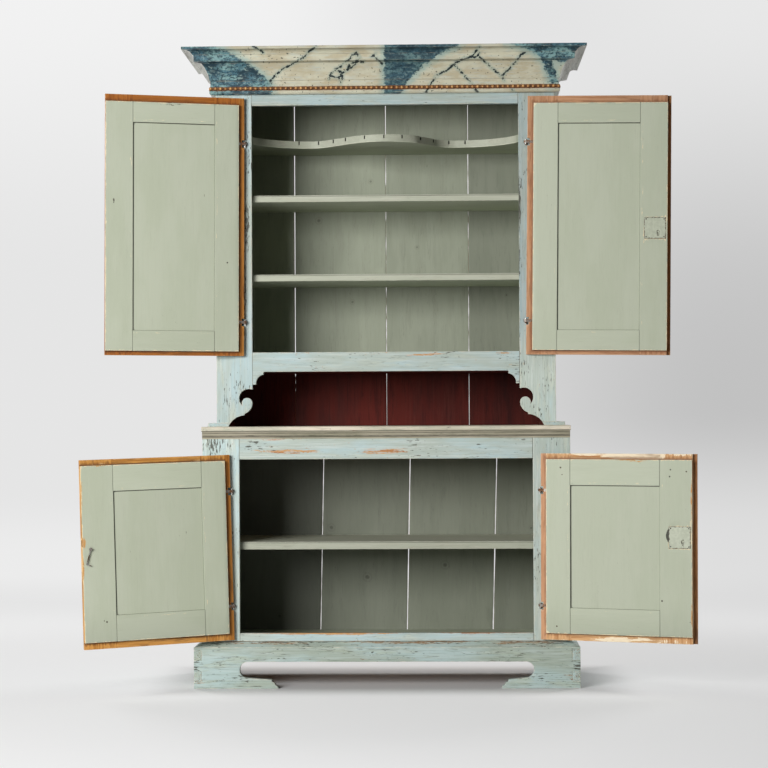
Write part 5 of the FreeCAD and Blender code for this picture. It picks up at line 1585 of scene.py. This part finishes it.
def pegDoors():
    # old nail heads and dark pegs in the door frames
    for door, wear in doorWear.items():
        if not wear["pegs"]:
            continue
        stand = doorStand(door)
        spots = [stand @ Vector((x, doorPlan["inFace"] - 0.0006, z)) for x, z in wear["pegs"]]
        level, hand = door.split("_")
        driveNails(level + hand.capitalize() + "Pegs", spots, stand.to_3x3() @ Vector((0, 1, 0)),
                   framePegs["radius"], framePegs["rise"], door)


dressLocks()
pegDoors()
print("irons dressed")


# studio
studio = {
    "floor": 0.80,
    "floorGlow": 1.0,                                     # what the camera sees of the paper's own white
    "glowShare": 0.50,
    "backdrop": 0.785,
    "rise": 0.10,                                         # how much lighter the paper gets towards its top
    "dusk": 0.25,                                         # how much darker to the right, at half height
    "keyPower": 350.0,
    "keyPlace": (-3.05, -4.85, 1.95),
    "keyWide": 3.0,
    "keyTall": 2.0,
    "world": 0.03,
    "backPower": 130.0,
    "backPlaces": {"backLeft": (-3.6, 4.2, 3.2), "backRight": (3.8, 4.0, 3.0)},
}


def paperLevel(tree):
    # the hanging paper is lit unevenly: lighter at its top, duller on the right at half height
    across, along, up = axesOf(ownCoord(tree))
    dusk = studio["dusk"]
    right = band(across, -0.7, 2.2)
    middle = smaller(band(up, 0.15, 0.95, 0.08, dusk), band(up, 1.0, 3.8, dusk, 0.08))
    level = studio["backdrop"] - right * middle + band(up, 1.8, 4.0, 0.0, studio["rise"])
    hump = band(up, 3.0, 3.8) * band(across, -1.2, 0.0)
    level = level - hump * band(across, 0.4, 2.2, 0.08, 0.0)
    foot = band(up, 0.0, 0.4, 0.05, 0.0) * (1.0 - right * 0.6)
    level = level + foot * band(along, 3.0, 5.0)
    far = band(along, 0.6, 3.4)
    return level + band(far, 0.0, 1.0, studio["floorGlow"] - studio["backdrop"], 0.0), far


def underFoot(tree):
    # under and close around the plinth the paper keeps all of its shadow
    across, along, up = axesOf(ownCoord(tree))
    low, high = plinthFront
    away = larger(abs(across) - high.x, larger(low.y - along, along - backY))
    return band(away, -0.02, 0.22)


def seenDirectly(tree):
    # 1 for what the camera and mirroring metal see
    path = tree.nodes.new("ShaderNodeLightPath")
    return larger(Signal(path.outputs["Is Camera Ray"]), path.outputs["Is Glossy Ray"])


def mixShaders(tree, share, under, over, out):
    mix = tree.nodes.new("ShaderNodeMixShader")
    for number, value in enumerate((share, under.outputs[0], over.outputs[0])):
        wire(value, mix.inputs[number])
    wire(mix.outputs[0], tree.nodes.new(out).inputs[0])


def paperFinish():
    # pale paper: near the cupboard it takes its shadow, far behind it is plain white
    paper = bpy.data.materials.new("paper")
    paper.use_nodes = True
    tree = paper.node_tree
    tree.nodes.clear()
    matt = step(tree, "ShaderNodeBsdfDiffuse", Color=(studio["floor"],) * 3)
    level, far = paperLevel(tree)
    glow = step(tree, "ShaderNodeEmission", Color=level)
    share = band(far, 0.0, 1.0, studio["glowShare"], 1.0) * underFoot(tree)
    mixShaders(tree, share * seenDirectly(tree), matt, glow, "ShaderNodeOutputMaterial")
    return paper


def sweepFloor():
    bend, high, run, half = 2.0, 9.0, 6.0, 14.0
    profile = [(-2.3, 0.0), (0.4, 0.0), (3.0, 0.0), (run, 0.0)]
    for i in range(1, 13):
        a = math.radians(90 * i / 12)
        profile.append((run + bend * math.sin(a), bend - bend * math.cos(a)))
    profile.append((run + bend, high))
    places = [(x, y, z) for y, z in profile for x in (-half, half)]
    faces = [(2 * i, 2 * i + 1, 2 * i + 3, 2 * i + 2) for i in range(len(profile) - 1)]
    mesh = bpy.data.meshes.new("sweep")
    mesh.from_pydata(places, [], faces)
    mesh.shade_smooth()
    mesh.materials.append(paperFinish())
    sweep = bpy.data.objects.new("sweep", mesh)
    bpy.context.scene.collection.objects.link(sweep)


def hangLamp(name, place, target, wide, tall, power):
    data = bpy.data.lights.new(name, "AREA")
    data.shape = "RECTANGLE"
    data.size = wide
    data.size_y = tall
    data.energy = power
    lamp = bpy.data.objects.new(name, data)
    lamp.location = place
    lamp.rotation_euler = (Vector(target) - Vector(place)).to_track_quat("-Z", "Y").to_euler()
    bpy.context.scene.collection.objects.link(lamp)


def lightWorld():
    world = bpy.data.worlds.new("studio")
    bpy.context.scene.world = world
    world.use_nodes = True
    tree = world.node_tree
    tree.nodes.clear()
    dim = step(tree, "ShaderNodeBackground", Strength=studio["world"])
    pale = step(tree, "ShaderNodeBackground", Color=(studio["backdrop"],) * 3)
    mixShaders(tree, seenDirectly(tree), dim, pale, "ShaderNodeOutputWorld")


sweepFloor()
hangLamp("key", studio["keyPlace"], (0.0, 0.1, 1.05), studio["keyWide"], studio["keyTall"],
         studio["keyPower"])
for name, place in studio["backPlaces"].items():
    hangLamp(name, place, (0, 0, 1.0), 2.0, 2.0, studio["backPower"])
lightWorld()
bpy.context.scene.view_settings.view_transform = "Standard"
print("studio lit")
